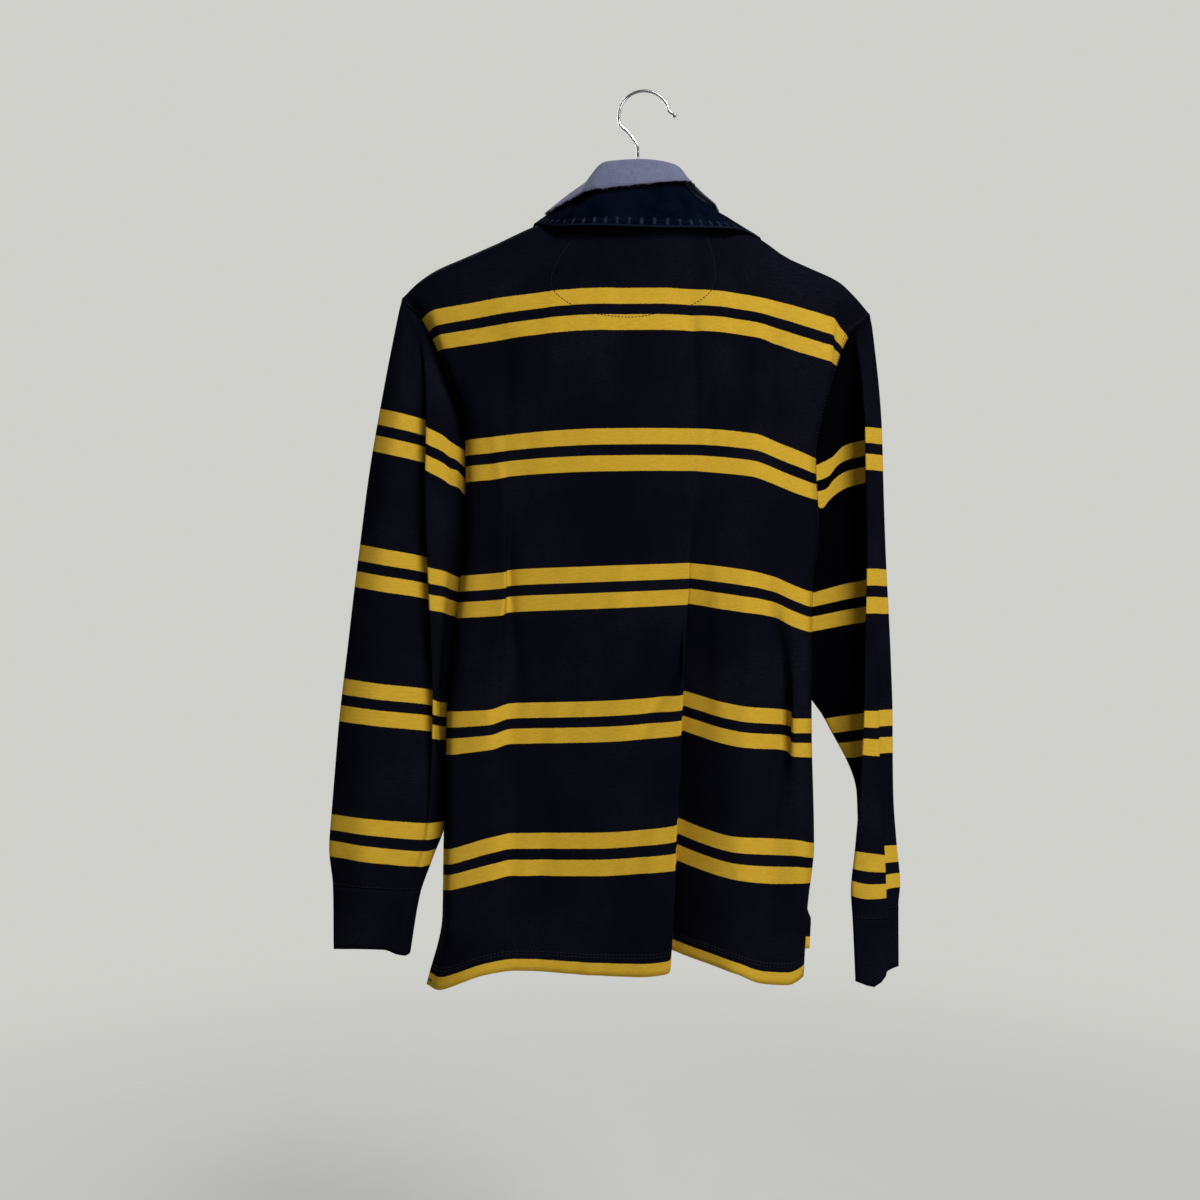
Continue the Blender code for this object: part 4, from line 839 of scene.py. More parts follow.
def neckband_form(depth):
    """The chambray band, with its worn edge a little scalloped."""

    def height(around, down):
        scallops = edge_waves(around, down - BAND_COURSES[-1], SCALLOPS)
        ripple = ripple_height(around, down, RIPPLE_SEEDS["band"]) * calm(down - COLLAR_CALM)
        return scallops + RIPPLE_SHARES["band"] * depth * ripple

    return collar_form("neckband_cloth", BAND_COURSES, neckband_sections, height)


def placket_form():
    """The placket, which lies on the front."""
    centre = FRONT_ACROSS[FRONT_STATIONS.index("centre")]
    across = np.linspace(centre - PLACKET_WIDTH / 2, centre + PLACKET_WIDTH / 2, PLACKET_CELLS[0])
    down = np.linspace(*PLACKET_COURSES, PLACKET_CELLS[1])
    rows, courses = front_rows(across)
    u, v = np.meshgrid(across, down)
    ripple = ripple_height(u, v, RIPPLE_SEEDS["placket"])
    height = PLACKET_LIFT + RIPPLE_SHARES["placket"] * ripple
    return form_of("placket_cloth", smooth(courses, rows, down), across, down, np.array((0, 1, 0)), height)


def cell_of(values, knots):
    """The cell of a grid where each value lies, and how far into it, from 0 to 1."""
    at = np.interp(values, knots, np.arange(len(knots)))
    cell = np.minimum(at.astype(int), len(knots) - 2)
    return cell, (at - cell)[:, None]


def on_cloth(form, across, down, lift):
    """Points lifted off a form at places across and down it, in mm, and the normals there."""
    top, row = cell_of(down, form.down)
    left, column = cell_of(across, form.across)
    right = (left + 1) % form.points.shape[1]

    def between(grid):
        upper = grid[top, left] * (1 - column) + grid[top, right] * column
        lower = grid[top + 1, left] * (1 - column) + grid[top + 1, right] * column
        return upper * (1 - row) + lower * row

    normals = between(form.normals)
    normals /= np.linalg.norm(normals, axis=1, keepdims=True)
    return between(form.points) + normals * lift / 1000, normals


def new_mesh(name, points, faces, finish, uv=None):
    """A smooth-shaded mesh that rides on the shirt. Its faces all have as many corners."""
    mesh = bpy.data.meshes.new(name)
    mesh.from_pydata(points.tolist(), [], faces.tolist())
    mesh.shade_smooth()
    mesh.materials.append(finish)
    if uv is not None:
        mesh.uv_layers.new(name="cloth").uv.foreach_set("vector", uv.astype(np.float32).ravel())
    made = bpy.data.objects.new(name, mesh)
    bpy.context.scene.collection.objects.link(made)
    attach(made, "root")
    return made


def lay_cloth(form, finish, node, thick):
    """The cloth of a form: one layer with its places as a UV map, given its thickness."""
    rows, columns = form.points.shape[:2]
    span = columns if form.tube else columns - 1
    row, column = (part.ravel() for part in np.indices((rows - 1, span)))
    corners = [(row, column), (row, column + 1), (row + 1, column + 1), (row + 1, column)]
    if form.reverse:
        corners.reverse()
    faces = np.stack([r * columns + c % columns for r, c in corners], axis=1)
    uv = np.stack([np.stack([form.across[c], form.courses[r, c % columns]], 1) for r, c in corners], 1)
    made = new_mesh(form.name, form.points.reshape(-1, 3), faces, finish, uv / 1000)
    shell = made.modifiers.new("thickness", "SOLIDIFY")
    shell.thickness = thick
    shell.offset = 0
    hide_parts(node)
    return made


def sew(name, lines, finish, long=2.6, gap=1.0, wide=0.5, proud=0.45):
    """Stitches along lines on cloth, each line given as points and normals. Sizes in mm."""
    turns = np.linspace(0, 2 * math.pi, BEAD_SIDES, endpoint=False)[:, None]
    beads = []
    for line, normals in lines:
        passed = passed_along(line * 1000)
        starts = np.arange(int(passed[-1] / (long + gap))) * (long + gap)
        first, last, out = (
            np.stack([np.interp(at, passed, part) for part in source.T], axis=1)
            for at, source in ((starts, line), (starts + long, line), (starts + long / 2, normals))
        )
        beside = np.cross(last - first, out)
        beside /= np.linalg.norm(beside, axis=1, keepdims=True)
        round_it = beside[:, None] * np.cos(turns) * wide / 2000 + out[:, None] * np.sin(turns) * proud / 2000
        rings = []
        for share, size, rise in BEAD_RINGS:
            centre = first + (last - first) * share + out * proud * rise / 1000
            rings.append(centre[:, None] + round_it * size)
        beads.append(np.stack(rings, axis=1))
    points = np.concatenate(beads)
    if not len(points):
        raise RuntimeError(f"{name} has no room for a stitch")
    faces = np.concatenate([tube_faces(len(BEAD_RINGS), BEAD_SIDES)[None]] * len(points))
    faces = faces + np.arange(len(points))[:, None, None] * len(BEAD_RINGS) * BEAD_SIDES
    return new_mesh(name, points.reshape(-1, 3), faces.reshape(-1, 4), finish)


def tube_faces(rings, sides):
    """The faces between rings of points, each ring joined to the next."""
    ring, side = (part.ravel() for part in np.indices((rings - 1, sides)))
    a, b = ring * sides + side, ring * sides + (side + 1) % sides
    return np.stack([a, b, b + sides, a + sides], axis=1)


def stitched_line(form, places):
    """A line for sewing, on the outside of a form, from its corner places (across, down)."""
    places = np.array(places, float)
    lengths = passed_along(places)
    at = np.linspace(0, lengths[-1], max(3, int(lengths[-1] / 2)))
    across, down = smooth(lengths, places, at).T
    return on_cloth(form, across, down, CLOTH / 2)


def turned(name, profile, centre, heading, across, finish, sides):
    """A turned piece round an axis, from its profile of (radius, height) in mm."""
    other = np.cross(heading, across)
    turns = np.linspace(0, 2 * math.pi, sides, endpoint=False)[:, None]
    ring = np.cos(turns) * across + np.sin(turns) * other
    rings = [centre + (ring * radius + heading * high) / 1000 for radius, high in profile]
    return new_mesh(name, np.concatenate(rings), tube_faces(len(profile), sides), finish)


class Recipe:
    """A material's nodes. Its places are in mm, across and down the cloth or in the object."""

    def __init__(self, name, places="UV"):
        self.made = bpy.data.materials.new(name)
        self.made.use_nodes = True
        self.tree = self.made.node_tree
        self.shader = self.tree.nodes["Principled BSDF"]
        source = self.node("ShaderNodeTexCoord").outputs[places]
        scaled = self.node("ShaderNodeVectorMath", {0: source, "Scale": 1000}, operation="SCALE")
        self.places = scaled.outputs[0]
        parts = self.node("ShaderNodeSeparateXYZ", {0: self.places}).outputs
        self.across, self.down = parts[0], parts[1]

    def node(self, kind, inputs=None, **settings):
        """A new node, whose inputs are numbers, colours or other nodes' outputs."""
        made = self.tree.nodes.new(kind)
        for setting, value in settings.items():
            setattr(made, setting, value)
        for name, value in (inputs or {}).items():
            if isinstance(value, bpy.types.NodeSocket):
                self.tree.links.new(value, made.inputs[name])
            else:
                made.inputs[name].default_value = value
        return made

    def sum(self, operation, *values):
        """The output of a math node."""
        return self.node("ShaderNodeMath", dict(enumerate(values)), operation=operation).outputs[0]

    def noise(self, scale, detail=2.0, stretch=(1, 1, 1), rough=0.5):
        """Uneven values from 0 to 1; scale is how many bumps there are in a mm."""
        places = self.node("ShaderNodeVectorMath", {0: self.places, 1: stretch}, operation="MULTIPLY")
        inputs = {"Vector": places.outputs[0], "Scale": scale, "Detail": detail, "Roughness": rough}
        return self.node("ShaderNodeTexNoise", inputs).outputs[0]

    def between(self, value, low, high):
        """0 at low and beyond, 1 at high and beyond, and soft between them. Low may be the higher."""
        inputs = {"Value": value, "From Min": low, "From Max": high}
        made = self.node("ShaderNodeMapRange", inputs, interpolation_type="SMOOTHSTEP")
        return made.outputs[0]

    def mix(self, share, first, second):
        """From the first colour to the second, by a share."""
        inputs = {0: share, 6: first, 7: second}
        return self.node("ShaderNodeMix", inputs, data_type="RGBA").outputs[2]

    def finish(self, colour, roughness, height=None, deep=0.0002, strength=0.6, **sockets):
        """The material, with a relief where a height is given. The other sockets get constants."""
        for name, value in {"Base Color": colour, "Roughness": roughness}.items():
            if isinstance(value, bpy.types.NodeSocket):
                self.tree.links.new(value, self.shader.inputs[name])
            else:
                self.shader.inputs[name].default_value = value
        if height is not None:
            inputs = {"Height": height, "Distance": deep, "Strength": strength}
            bump = self.node("ShaderNodeBump", inputs).outputs[0]
            self.tree.links.new(bump, self.shader.inputs["Normal"])
        for name, value in sockets.items():
            self.shader.inputs[name.replace("_", " ").title().replace("Ior", "IOR")].default_value = value
        return self.made


def rgba(colour, times=1.0):
    """A colour with its alpha, made paler or darker."""
    return (*(min(1.0, part * times) for part in colour), 1.0)


def worn_navy(recipe, colours, painted_shade=None):
    """Washed navy: a little paler in streaks along the courses and in soft patches. Between two places
    across the cloth, where they are given, it is painted deeper, as shade on the dark side of a fold."""
    patches = recipe.between(recipe.noise(0.012, 3.0), 0.35, 0.75)
    streaks = recipe.noise(0.45, 3.0, (0.35, 1.6, 1), 0.65)
    pale = recipe.sum("MULTIPLY", patches, recipe.between(streaks, 0.25, 0.8))
    flecks = recipe.between(recipe.noise(1.1, 2.0, (0.7, 1.3, 1)), 0.62, 0.78)
    worn = recipe.mix(pale, rgba(colours.navy), rgba(colours.navy_worn))
    worn = recipe.mix(recipe.sum("MULTIPLY", flecks, 0.35), worn, rgba(colours.navy_worn, 1.6))
    if not painted_shade:
        return worn
    # Painted shade: deeper navy between two places round the cloth, on the dark side of a fold
    begin, end = PAINTED_SHADE_SOFT
    after = recipe.between(recipe.across, painted_shade[0] - begin, painted_shade[0] + begin)
    inside = recipe.sum("MULTIPLY", after, recipe.between(recipe.across, painted_shade[1] + end, painted_shade[1] - end))
    return recipe.mix(recipe.sum("MULTIPLY", inside, 0.85), worn, rgba(colours.navy, 0.2))


def knit_height(recipe, wale, course):
    """The relief of a plain knit: columns of V stitches, with some fuzz."""
    column = recipe.sum("PINGPONG", recipe.across, wale / 2)
    slanted = recipe.sum("MULTIPLY_ADD", column, 0.8, recipe.down)
    loops = recipe.sum("SINE", recipe.sum("MULTIPLY", slanted, 2 * math.pi / course))
    ridge = recipe.sum("DIVIDE", column, wale / 2)
    knit = recipe.sum("MULTIPLY_ADD", loops, 0.25, recipe.sum("MULTIPLY", ridge, 0.6))
    return recipe.sum("MULTIPLY_ADD", recipe.noise(2.2, 3.0), 0.9, knit)


def striped_jersey(name, sizes, colours, first, every, band=None, painted_shade=None):
    """Cotton jersey with pairs of gold stripes knitted in, from the first course of the first."""
    recipe = Recipe(name)
    wavering = recipe.sum("MULTIPLY", recipe.sum("SUBTRACT", recipe.noise(0.9, 2.0, (1, 0.2, 1)), 0.5), 0.9)
    course = recipe.sum("ADD", recipe.down, wavering)
    wide, apart = sizes.stripe_width * 1000, sizes.stripe_gap * 1000
    centre = wide + apart / 2
    inside = recipe.sum("FLOORED_MODULO", recipe.sum("SUBTRACT", course, first - STRIPE_LEAD), every)
    from_centre = recipe.sum("ABSOLUTE", recipe.sum("SUBTRACT", inside, STRIPE_LEAD + centre))
    from_stripe = recipe.sum("ABSOLUTE", recipe.sum("SUBTRACT", from_centre, (wide + apart) / 2))
    stripe = recipe.between(from_stripe, wide / 2 + STRIPE_SOFT, wide / 2 - STRIPE_SOFT)
    begun = recipe.between(course, *(first - above for above in STRIPES_BEGIN))
    stripe = recipe.sum("MULTIPLY", stripe, begun)
    if band:
        hem = recipe.between(course, band - STRIPE_SOFT, band + STRIPE_SOFT)
        stripe = recipe.sum("MAXIMUM", stripe, hem)
    streaks = recipe.between(recipe.noise(0.5, 4.0, (0.25, 1.5, 1), 0.7), 0.3, 0.75)
    gold = recipe.mix(streaks, rgba(colours.gold), rgba(colours.gold_deep))
    dust = recipe.between(recipe.noise(0.9, 3.0, (0.6, 1.4, 1), 0.7), 0.58, 0.85)
    gold = recipe.mix(recipe.sum("MULTIPLY", dust, 0.5), gold, rgba(colours.gold_deep, 0.62))
    colour = recipe.mix(stripe, worn_navy(recipe, colours, painted_shade), gold)
    knit = knit_height(recipe, *JERSEY_KNIT)
    return recipe.finish(colour, 0.95, knit, 0.00022, 0.55, specular_ior_level=DARK_SHINE)


def plain_jersey(name, colours):
    """The cuffs' tighter double knit."""
    recipe = Recipe(name)
    knit = knit_height(recipe, *CUFF_KNIT)
    return recipe.finish(worn_navy(recipe, colours), 0.95, knit, 0.0003, 0.6, specular_ior_level=DARK_SHINE)


def navy_twill(name, colours, edge=None):
    """Brushed cotton twill, with diagonal ribs. Where it has an edge, at a course, it is rubbed pale
    on the puckers there."""
    recipe = Recipe(name)
    slant = recipe.sum("ADD", recipe.across, recipe.down)
    ribs = recipe.sum("SINE", recipe.sum("MULTIPLY", slant, 2 * math.pi / TWILL_RIBS))
    cloudy = recipe.between(recipe.noise(0.05, 4.0, (1, 1, 1), 0.6), 0.3, 0.75)
    colour = recipe.mix(cloudy, rgba(colours.twill), rgba(colours.twill_worn))
    slub = recipe.between(recipe.noise(0.6, 3.0, (0.3, 1.8, 1), 0.7), 0.5, 0.85)
    colour = recipe.mix(recipe.sum("MULTIPLY", slub, 0.5), colour, rgba(colours.twill_worn, 1.5))
    if edge is not None:
        wave = recipe.sum("SINE", recipe.sum("MULTIPLY", recipe.across, 2 * math.pi / PUCKERS[0]))
        tops = recipe.between(recipe.sum("ADD", wave, recipe.noise(0.2, 2.0)), 1.0, 1.7)
        near = recipe.sum("ABSOLUTE", recipe.sum("SUBTRACT", recipe.down, edge - COLLAR_STITCH + 0.8))
        rubbed = recipe.sum("MULTIPLY", tops, recipe.between(near, 4.2, 1.6))
        hem = recipe.sum("MULTIPLY", recipe.between(recipe.down, edge - 1.8, edge - 0.4), 0.6)
        colour = recipe.mix(recipe.sum("MAXIMUM", rubbed, hem), colour, rgba(colours.twill_rubbed))
    height = recipe.sum("MULTIPLY_ADD", recipe.noise(1.4, 3.0), 1.2, recipe.sum("MULTIPLY", ribs, 0.3))
    return recipe.finish(colour, 0.92, height, 0.0002, 0.5, specular_ior_level=DARK_SHINE)


def chambray(name, colours, edge):
    """Plain-woven chambray: blue across white threads, uneven, paler along its frayed edge."""
    recipe = Recipe(name)
    warp = recipe.noise(1.0, 3.0, (2.2, 0.12, 1), 0.7)
    weft = recipe.noise(1.0, 3.0, (0.12, 2.2, 1), 0.7)
    crossing = recipe.between(recipe.sum("ADD", warp, weft), 0.72, 1.3)
    colour = recipe.mix(crossing, rgba(colours.chambray), rgba(colours.chambray_pale))
    patches = recipe.between(recipe.noise(0.04, 3.0), 0.3, 0.8)
    colour = recipe.mix(recipe.sum("MULTIPLY", patches, 0.35), colour, rgba(colours.chambray, 0.8))
    rim = recipe.between(recipe.down, edge - 1.6, edge - 0.2)
    colour = recipe.mix(recipe.sum("MULTIPLY", rim, 0.7), colour, rgba(colours.chambray_pale, 1.1))
    height = recipe.sum("ADD", warp, weft)
    return recipe.finish(colour, 0.9, height, 0.0003, 0.6, specular_ior_level=0.15, sheen_weight=0.05)


def thread(name, colour):
    """Twisted cotton thread."""
    recipe = Recipe(name, "Object")
    uneven = recipe.noise(1.5, 2.0)
    return recipe.finish(
        recipe.mix(uneven, rgba(colour, 0.75), rgba(colour, 1.25)), 0.8, recipe.noise(4.0), 0.0001,
        specular_ior_level=0.15,
    )


def beech(name, colours):
    """Lacquered beech with short flecks along the grain."""
    recipe = Recipe(name, "Object")
    grain = recipe.noise(0.4, 4.0, (0.06, 1, 1), 0.6)
    flecks = recipe.between(recipe.noise(0.9, 2.0, (0.25, 1, 1)), 0.6, 0.75)
    colour = recipe.mix(grain, rgba(colours.beech), rgba(colours.beech, 0.72))
    colour = recipe.mix(recipe.sum("MULTIPLY", flecks, 0.4), colour, rgba(colours.beech, 0.5))
    return recipe.finish(colour, 0.45, grain, 0.0002, 0.3, coat_weight=0.3, coat_roughness=0.25)


def rubber(name, colours):
    """Matt moulded rubber with a fine bloom."""
    recipe = Recipe(name, "Object")
    bloom = recipe.noise(0.8, 3.0)
    colour = recipe.mix(bloom, rgba(colours.rubber, 0.9), rgba(colours.rubber, 1.08))
    return recipe.finish(colour, recipe.between(bloom, -1.2, 1.6), recipe.noise(3.0), 0.00005, 0.4)


def chrome(name, colours):
    """Bright-plated wire with faint drawing lines and rubbed spots."""
    recipe = Recipe(name, "Object")
    rubbed = recipe.between(recipe.noise(0.25, 4.0), 0.4, 0.75)
    roughness = recipe.sum("MULTIPLY_ADD", rubbed, 0.16, 0.12)
    colour = recipe.mix(rubbed, rgba(colours.chrome), rgba(colours.chrome, 0.82))
    return recipe.finish(colour, roughness, recipe.noise(1.5, 2.0), 0.00005, 0.15, metallic=1.0)


def pale_floor(name, colours):
    """Plain painted floor, which melts into the surroundings far from its middle."""
    recipe = Recipe(name, "Object")
    radius = recipe.node("ShaderNodeVectorMath", {0: recipe.places}, operation="LENGTH").outputs["Value"]
    solid = recipe.between(radius, FLOOR_FADES[1] * 1000, FLOOR_FADES[0] * 1000)
    recipe.tree.links.new(solid, recipe.shader.inputs["Alpha"])
    uneven = recipe.noise(0.01, 4.0)
    colour = recipe.mix(uneven, rgba(colours.floor, 0.97), rgba(colours.floor, 1.02))
    return recipe.finish(colour, 0.85, recipe.noise(0.05, 4.0), 0.0005, 0.2, specular_ior_level=0.2)


class ShirtSizes(bpy.types.PropertyGroup):
    """Sizes of the cloth and its stripes"""

    cloth: bpy.props.FloatProperty(
        name="Cloth thickness", description="How thick each layer of cloth is",
        default=CLOTH / 1000, min=0.0006, max=0.002, unit="LENGTH",
    )
    stripe_width: bpy.props.FloatProperty(
        name="Stripe width", description="Width of each gold stripe",
        default=0.016, min=0.004, max=0.03, unit="LENGTH",
    )
    stripe_gap: bpy.props.FloatProperty(
        name="Gap in a pair", description="Navy between the two stripes of a pair",
        default=0.011, min=0.002, max=0.03, unit="LENGTH",
    )
    fold_depth: bpy.props.FloatProperty(
        name="Crease depth", description="How deep the small creases are beside the main folds",
        default=1.0, min=0.0, max=2.0, subtype="FACTOR",
    )
    stitch: bpy.props.FloatProperty(
        name="Stitch length", description="Length of one stitch of the topstitching",
        default=0.0026, min=0.001, max=0.006, unit="LENGTH",
    )


def colour_property(name, description, default):
    """A colour that a user can change."""
    return bpy.props.FloatVectorProperty(
        name=name, description=description, default=default, subtype="COLOR", size=3, min=0, max=1
    )


class ShirtColours(bpy.types.PropertyGroup):
    """Colours of the cloth, thread and hanger"""

    navy: colour_property("Navy", "Jersey where it isn't worn", (0.0024, 0.0026, 0.0051))
    navy_worn: colour_property("Worn navy", "Jersey where washing has paled it", (0.0066, 0.0069, 0.0118))
    gold: colour_property("Gold", "Stripes", (0.50, 0.312, 0.029))
    gold_deep: colour_property("Deep gold", "Stripes where the dye took more", (0.42, 0.250, 0.018))
    twill: colour_property("Collar navy", "Collar's twill", (0.0006, 0.0014, 0.0044))
    twill_worn: colour_property("Worn collar", "Twill where it has paled", (0.0018, 0.0036, 0.0092))
    twill_rubbed: colour_property("Rubbed edge", "Twill along its rubbed edge", (0.014, 0.022, 0.040))
    chambray: colour_property("Chambray", "Blue threads of the band", (0.080, 0.092, 0.165))
    chambray_pale: colour_property("Pale chambray", "White threads of the band", (0.155, 0.160, 0.235))
    thread: colour_property("Thread", "Navy topstitching", (0.013, 0.014, 0.024))
    thread_collar: colour_property("Collar thread", "Collar's topstitching", (0.004, 0.007, 0.014))
    thread_moon: colour_property("Half-moon thread", "Stitching of the half moon", (0.0040, 0.0036, 0.0060))
    rubber: colour_property("Rubber", "Buttons", (0.55, 0.52, 0.45))
    beech: colour_property("Beech", "Hanger", (0.50, 0.33, 0.18))
    chrome: colour_property("Chrome", "Hook", (0.50, 0.50, 0.51))
    floor: colour_property("Floor", "Studio floor", (0.54, 0.54, 0.525))


class MakesPiece:
    """What the operators share: the sizes and colours that the scene holds."""

    bl_options = {"REGISTER", "UNDO"}

    @property
    def sizes(self):
        return bpy.context.scene.shirt_sizes

    @property
    def colours(self):
        return bpy.context.scene.shirt_colours


class SHIRT_OT_body(MakesPiece, bpy.types.Operator):
    """Makes the shirt's back and front"""

    bl_idname = "shirt.body"
    bl_label = "Back and Front"

    def execute(self, context):
        sizes, colours = self.sizes, self.colours
        for node, form, band, cut in (
            ("back", back_form(sizes.fold_depth), BACK_BAND, BACK_CUT),
            ("front", front_form(sizes.fold_depth), FRONT_BAND, FRONT_CUT),
        ):
            finish = striped_jersey(f"jersey_{node}", sizes, colours, *BODY_STRIPES, band)
            made = lay_cloth(form, finish, node, sizes.cloth)
        return {"FINISHED"}


class SHIRT_OT_sleeves(MakesPiece, bpy.types.Operator):
    """Makes both sleeves and their cuffs"""

    bl_idname = "shirt.sleeves"
    bl_label = "Sleeves and Cuffs"

    def execute(self, context):
        sizes, colours = self.sizes, self.colours
        plain = plain_jersey("jersey_cuff", colours)
        for side, name in enumerate(("left", "right")):
            # The right sleeve's navy gets painted shade on the dark side of its folds
            striped = striped_jersey(
                f"jersey_sleeve_{name}", sizes, colours, *SLEEVE_STRIPES, painted_shade=PAINTED_SHADE_AROUND if side else None
            )
            sleeve, cuff = sleeve_forms(side, sizes.fold_depth)
            made = lay_cloth(sleeve, striped, f"sleeve_{name}", sizes.cloth)
            made = lay_cloth(cuff, plain, f"cuff_{name}", sizes.cloth)
        return {"FINISHED"}


class SHIRT_OT_collar(MakesPiece, bpy.types.Operator):
    """Makes the navy collar and the chambray band inside it"""

    bl_idname = "shirt.collar"
    bl_label = "Collar"

    def execute(self, context):
        sizes, colours = self.sizes, self.colours
        fall, band = fall_form(sizes.fold_depth), neckband_form(sizes.fold_depth)
        twill = navy_twill("twill_collar", colours, FALL_COURSES[-1])
        made = lay_cloth(fall, twill, "collar_fall", sizes.cloth)
        woven = chambray("chambray_band", colours, BAND_COURSES[-1])
        made = lay_cloth(band, woven, "neckband", sizes.cloth * BAND_THIN)
        return {"FINISHED"}


def sew_on_button(form, number, course, finish, cotton):
    """Turns a button and sews it on the placket with two stitches."""
    middle = np.array([np.mean(form.across)])
    places, normals = on_cloth(form, middle, np.array([course]), BUTTON_LIFT - PLACKET_LIFT)
    place, normal = places[0], normals[0]
    beside = np.cross(normal, (0, 0, 1))
    beside /= np.linalg.norm(beside)
    profile = [(share * BUTTON_RADIUS, high * BUTTON_THICK) for share, high in BUTTON_PROFILE]
    made = turned(f"rubber_button_{number}", profile, place, normal, beside, finish, BUTTON_SIDES)
    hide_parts(f"button_{number}")
    top = place + normal * BUTTON_THICK * BUTTON_PROFILE[1][1] / 1000
    off, half = BUTTON_SEWN
    ends = top + np.outer((-half, half), np.cross(normal, beside)) / 1000
    lines = [(ends + beside * side * off / 1000, np.array([normal] * 2)) for side in (-1, 1)]
    name = f"button_thread_{number}"
    sew(name, lines, cotton, long=3.1, gap=0.01, wide=0.8, proud=0.7)


class SHIRT_OT_placket(MakesPiece, bpy.types.Operator):
    """Makes the placket and its rubber buttons"""

    bl_idname = "shirt.placket"
    bl_label = "Placket and Buttons"

    def execute(self, context):
        sizes, colours = self.sizes, self.colours
        form = placket_form()
        twill = navy_twill("twill_placket", colours)
        made = lay_cloth(form, twill, "placket", sizes.cloth)
        finish, cotton = rubber("button_rubber", colours), thread("button_thread", colours.thread)
        for number, course in enumerate(BUTTON_COURSES, 1):
            sew_on_button(form, number, course, finish, cotton)
        return {"FINISHED"}


def hem_rows(form, band):
    """The two rows of stitches above a panel's hem stripe."""
    places = (HEM_ENDS, form.across[-1] / 2, form.across[-1] - HEM_ENDS)
    return [stitched_line(form, [(across, band - above) for across in places]) for above in HEM_STITCHES]


def armhole_rows(form):
    """The topstitching beside both armholes of a panel."""
    return [
        stitched_line(form, [(across, course) for course in ARMHOLE_STITCHED])
        for across in (SEAM_STITCH, form.across[-1] - SEAM_STITCH)
    ]


def tack_rows(form, band):
    """The rows of the bar tacks at the top and foot of both vents."""
    rows = []
    for across, turn in ((SEAM_STITCH, 1), (form.across[-1] - SEAM_STITCH, -1)):
        start = across - turn * TACK_OUT
        end = start + turn * TACK_LONG
        for middle in (VENT_COURSE, band + TACK_BELOW):
            for course in middle + np.linspace(-TACK_HALF, TACK_HALF, TACK_ROWS):
                rows.append(stitched_line(form, [(start, course), (end, course)]))
    return rows


def placket_rows(form):
    """The stitches down both sides of the placket and round the box at its foot."""
    left, right = form.across[0] + PLACKET_STITCH, form.across[-1] - PLACKET_STITCH
    low = PLACKET_COURSES[1] - PLACKET_STITCH
    rows = [[(side, course) for course in (*PLACKET_STITCHED, low)] for side in (left, right)]
    for course in (low, low - PLACKET_BOX):
        rows.append([(left, course), ((left + right) / 2, course), (right, course)])
    return [stitched_line(form, row) for row in rows]


class SHIRT_OT_stitching(MakesPiece, bpy.types.Operator):
    """Sews the topstitching, the hems, the half moon and the bar tacks"""

    bl_idname = "shirt.stitching"
    bl_label = "Stitching"

    def execute(self, context):
        sizes, colours = self.sizes, self.colours
        long, depth = sizes.stitch * 1000, sizes.fold_depth
        navy = thread("thread_navy", colours.thread)
        back, front, fall = back_form(depth), front_form(depth), fall_form(depth)
        for form, band, name in ((back, BACK_BAND, "back"), (front, FRONT_BAND, "front")):
            sew(f"hem_stitching_{name}", hem_rows(form, band), navy, long)
            sew(f"armhole_stitching_{name}", armhole_rows(form), navy, long)
            sew(f"bar_tacks_{name}", tack_rows(form, band), navy, long=2.2, gap=0.1)
        dark = thread("thread_moon", colours.thread_moon)
        line = stitched_line(back, HALF_MOON)
        sew("half_moon_stitching", [line], dark, long=3.0, gap=0.3, wide=0.8)
        edge = FALL_COURSES[-1] - COLLAR_STITCH
        line = stitched_line(fall, [(around, edge + below) for around, below in COLLAR_LINE])
        rubbed = thread("thread_collar", colours.thread_collar)
        sew("collar_stitching", [line], rubbed, long=2.4, gap=1.4)
        sew("placket_stitching", placket_rows(placket_form()), navy, long)
        course = CUFF_COURSES[0] - CUFF_STITCH
        for side, name in enumerate(("left", "right")):
            sleeve = sleeve_forms(side, depth)[0]
            whole = sleeve.across[-1]
            places = [(across, course) for across in (0, whole / 2, whole - RING_OPEN)]
            row = stitched_line(sleeve, places)
            sew(f"cuff_stitching_{name}", [row], navy, long)
        return {"FINISHED"}


def frayed_threads(form):
    """Short loose threads that stand out of the band's edge, at random places round it."""
    chance = np.random.default_rng(FRAY_SEED)
    last = form.down[-1]
    lines = []
    for around in chance.uniform(FRAY_ENDS, form.across[-1] - FRAY_ENDS, FRAY_THREADS):
        points, normals = on_cloth(form, np.array([around, around]), np.array([last - 1, last]), 0.0)
        ahead = (points[1] - points[0]) * chance.uniform(*FRAY_LONG)
        loose = ahead + chance.normal(0, FRAY_LOOSE / 1000, 3)
        lines.append((np.stack([points[0] + ahead * 0.2, points[1] + loose]), normals))
    return lines


class SHIRT_OT_fray(MakesPiece, bpy.types.Operator):
    """Makes the short threads that stand out of the chambray's worn edge"""

    bl_idname = "shirt.fray"
    bl_label = "Frayed Edge"

    def execute(self, context):
        lines = frayed_threads(neckband_form(self.sizes.fold_depth))
        finish = thread("thread_chambray", self.colours.chambray_pale)
        sew("chambray_fray", lines, finish, long=0.9, gap=0, wide=0.22, proud=0.22)
        return {"FINISHED"}


def hook_path(foot):
    """The middle line of the hook's wire, (right, below), from its foot to its tip."""
    turns = np.radians(np.linspace(*HOOK_ARC, ARC_PLACES))
    arc = np.array(HOOK_CENTRE) + HOOK_RADIUS * np.stack([np.cos(turns), -np.sin(turns)], 1)
    path = np.array([(STEM_RIGHT, foot - FERRULE_HIGH), *STEM_BEND, *arc, *HOOK_TIP])
    lengths = passed_along(path)
    return smooth(lengths, path, divided((0, lengths[-1]), WIRE_STEP))


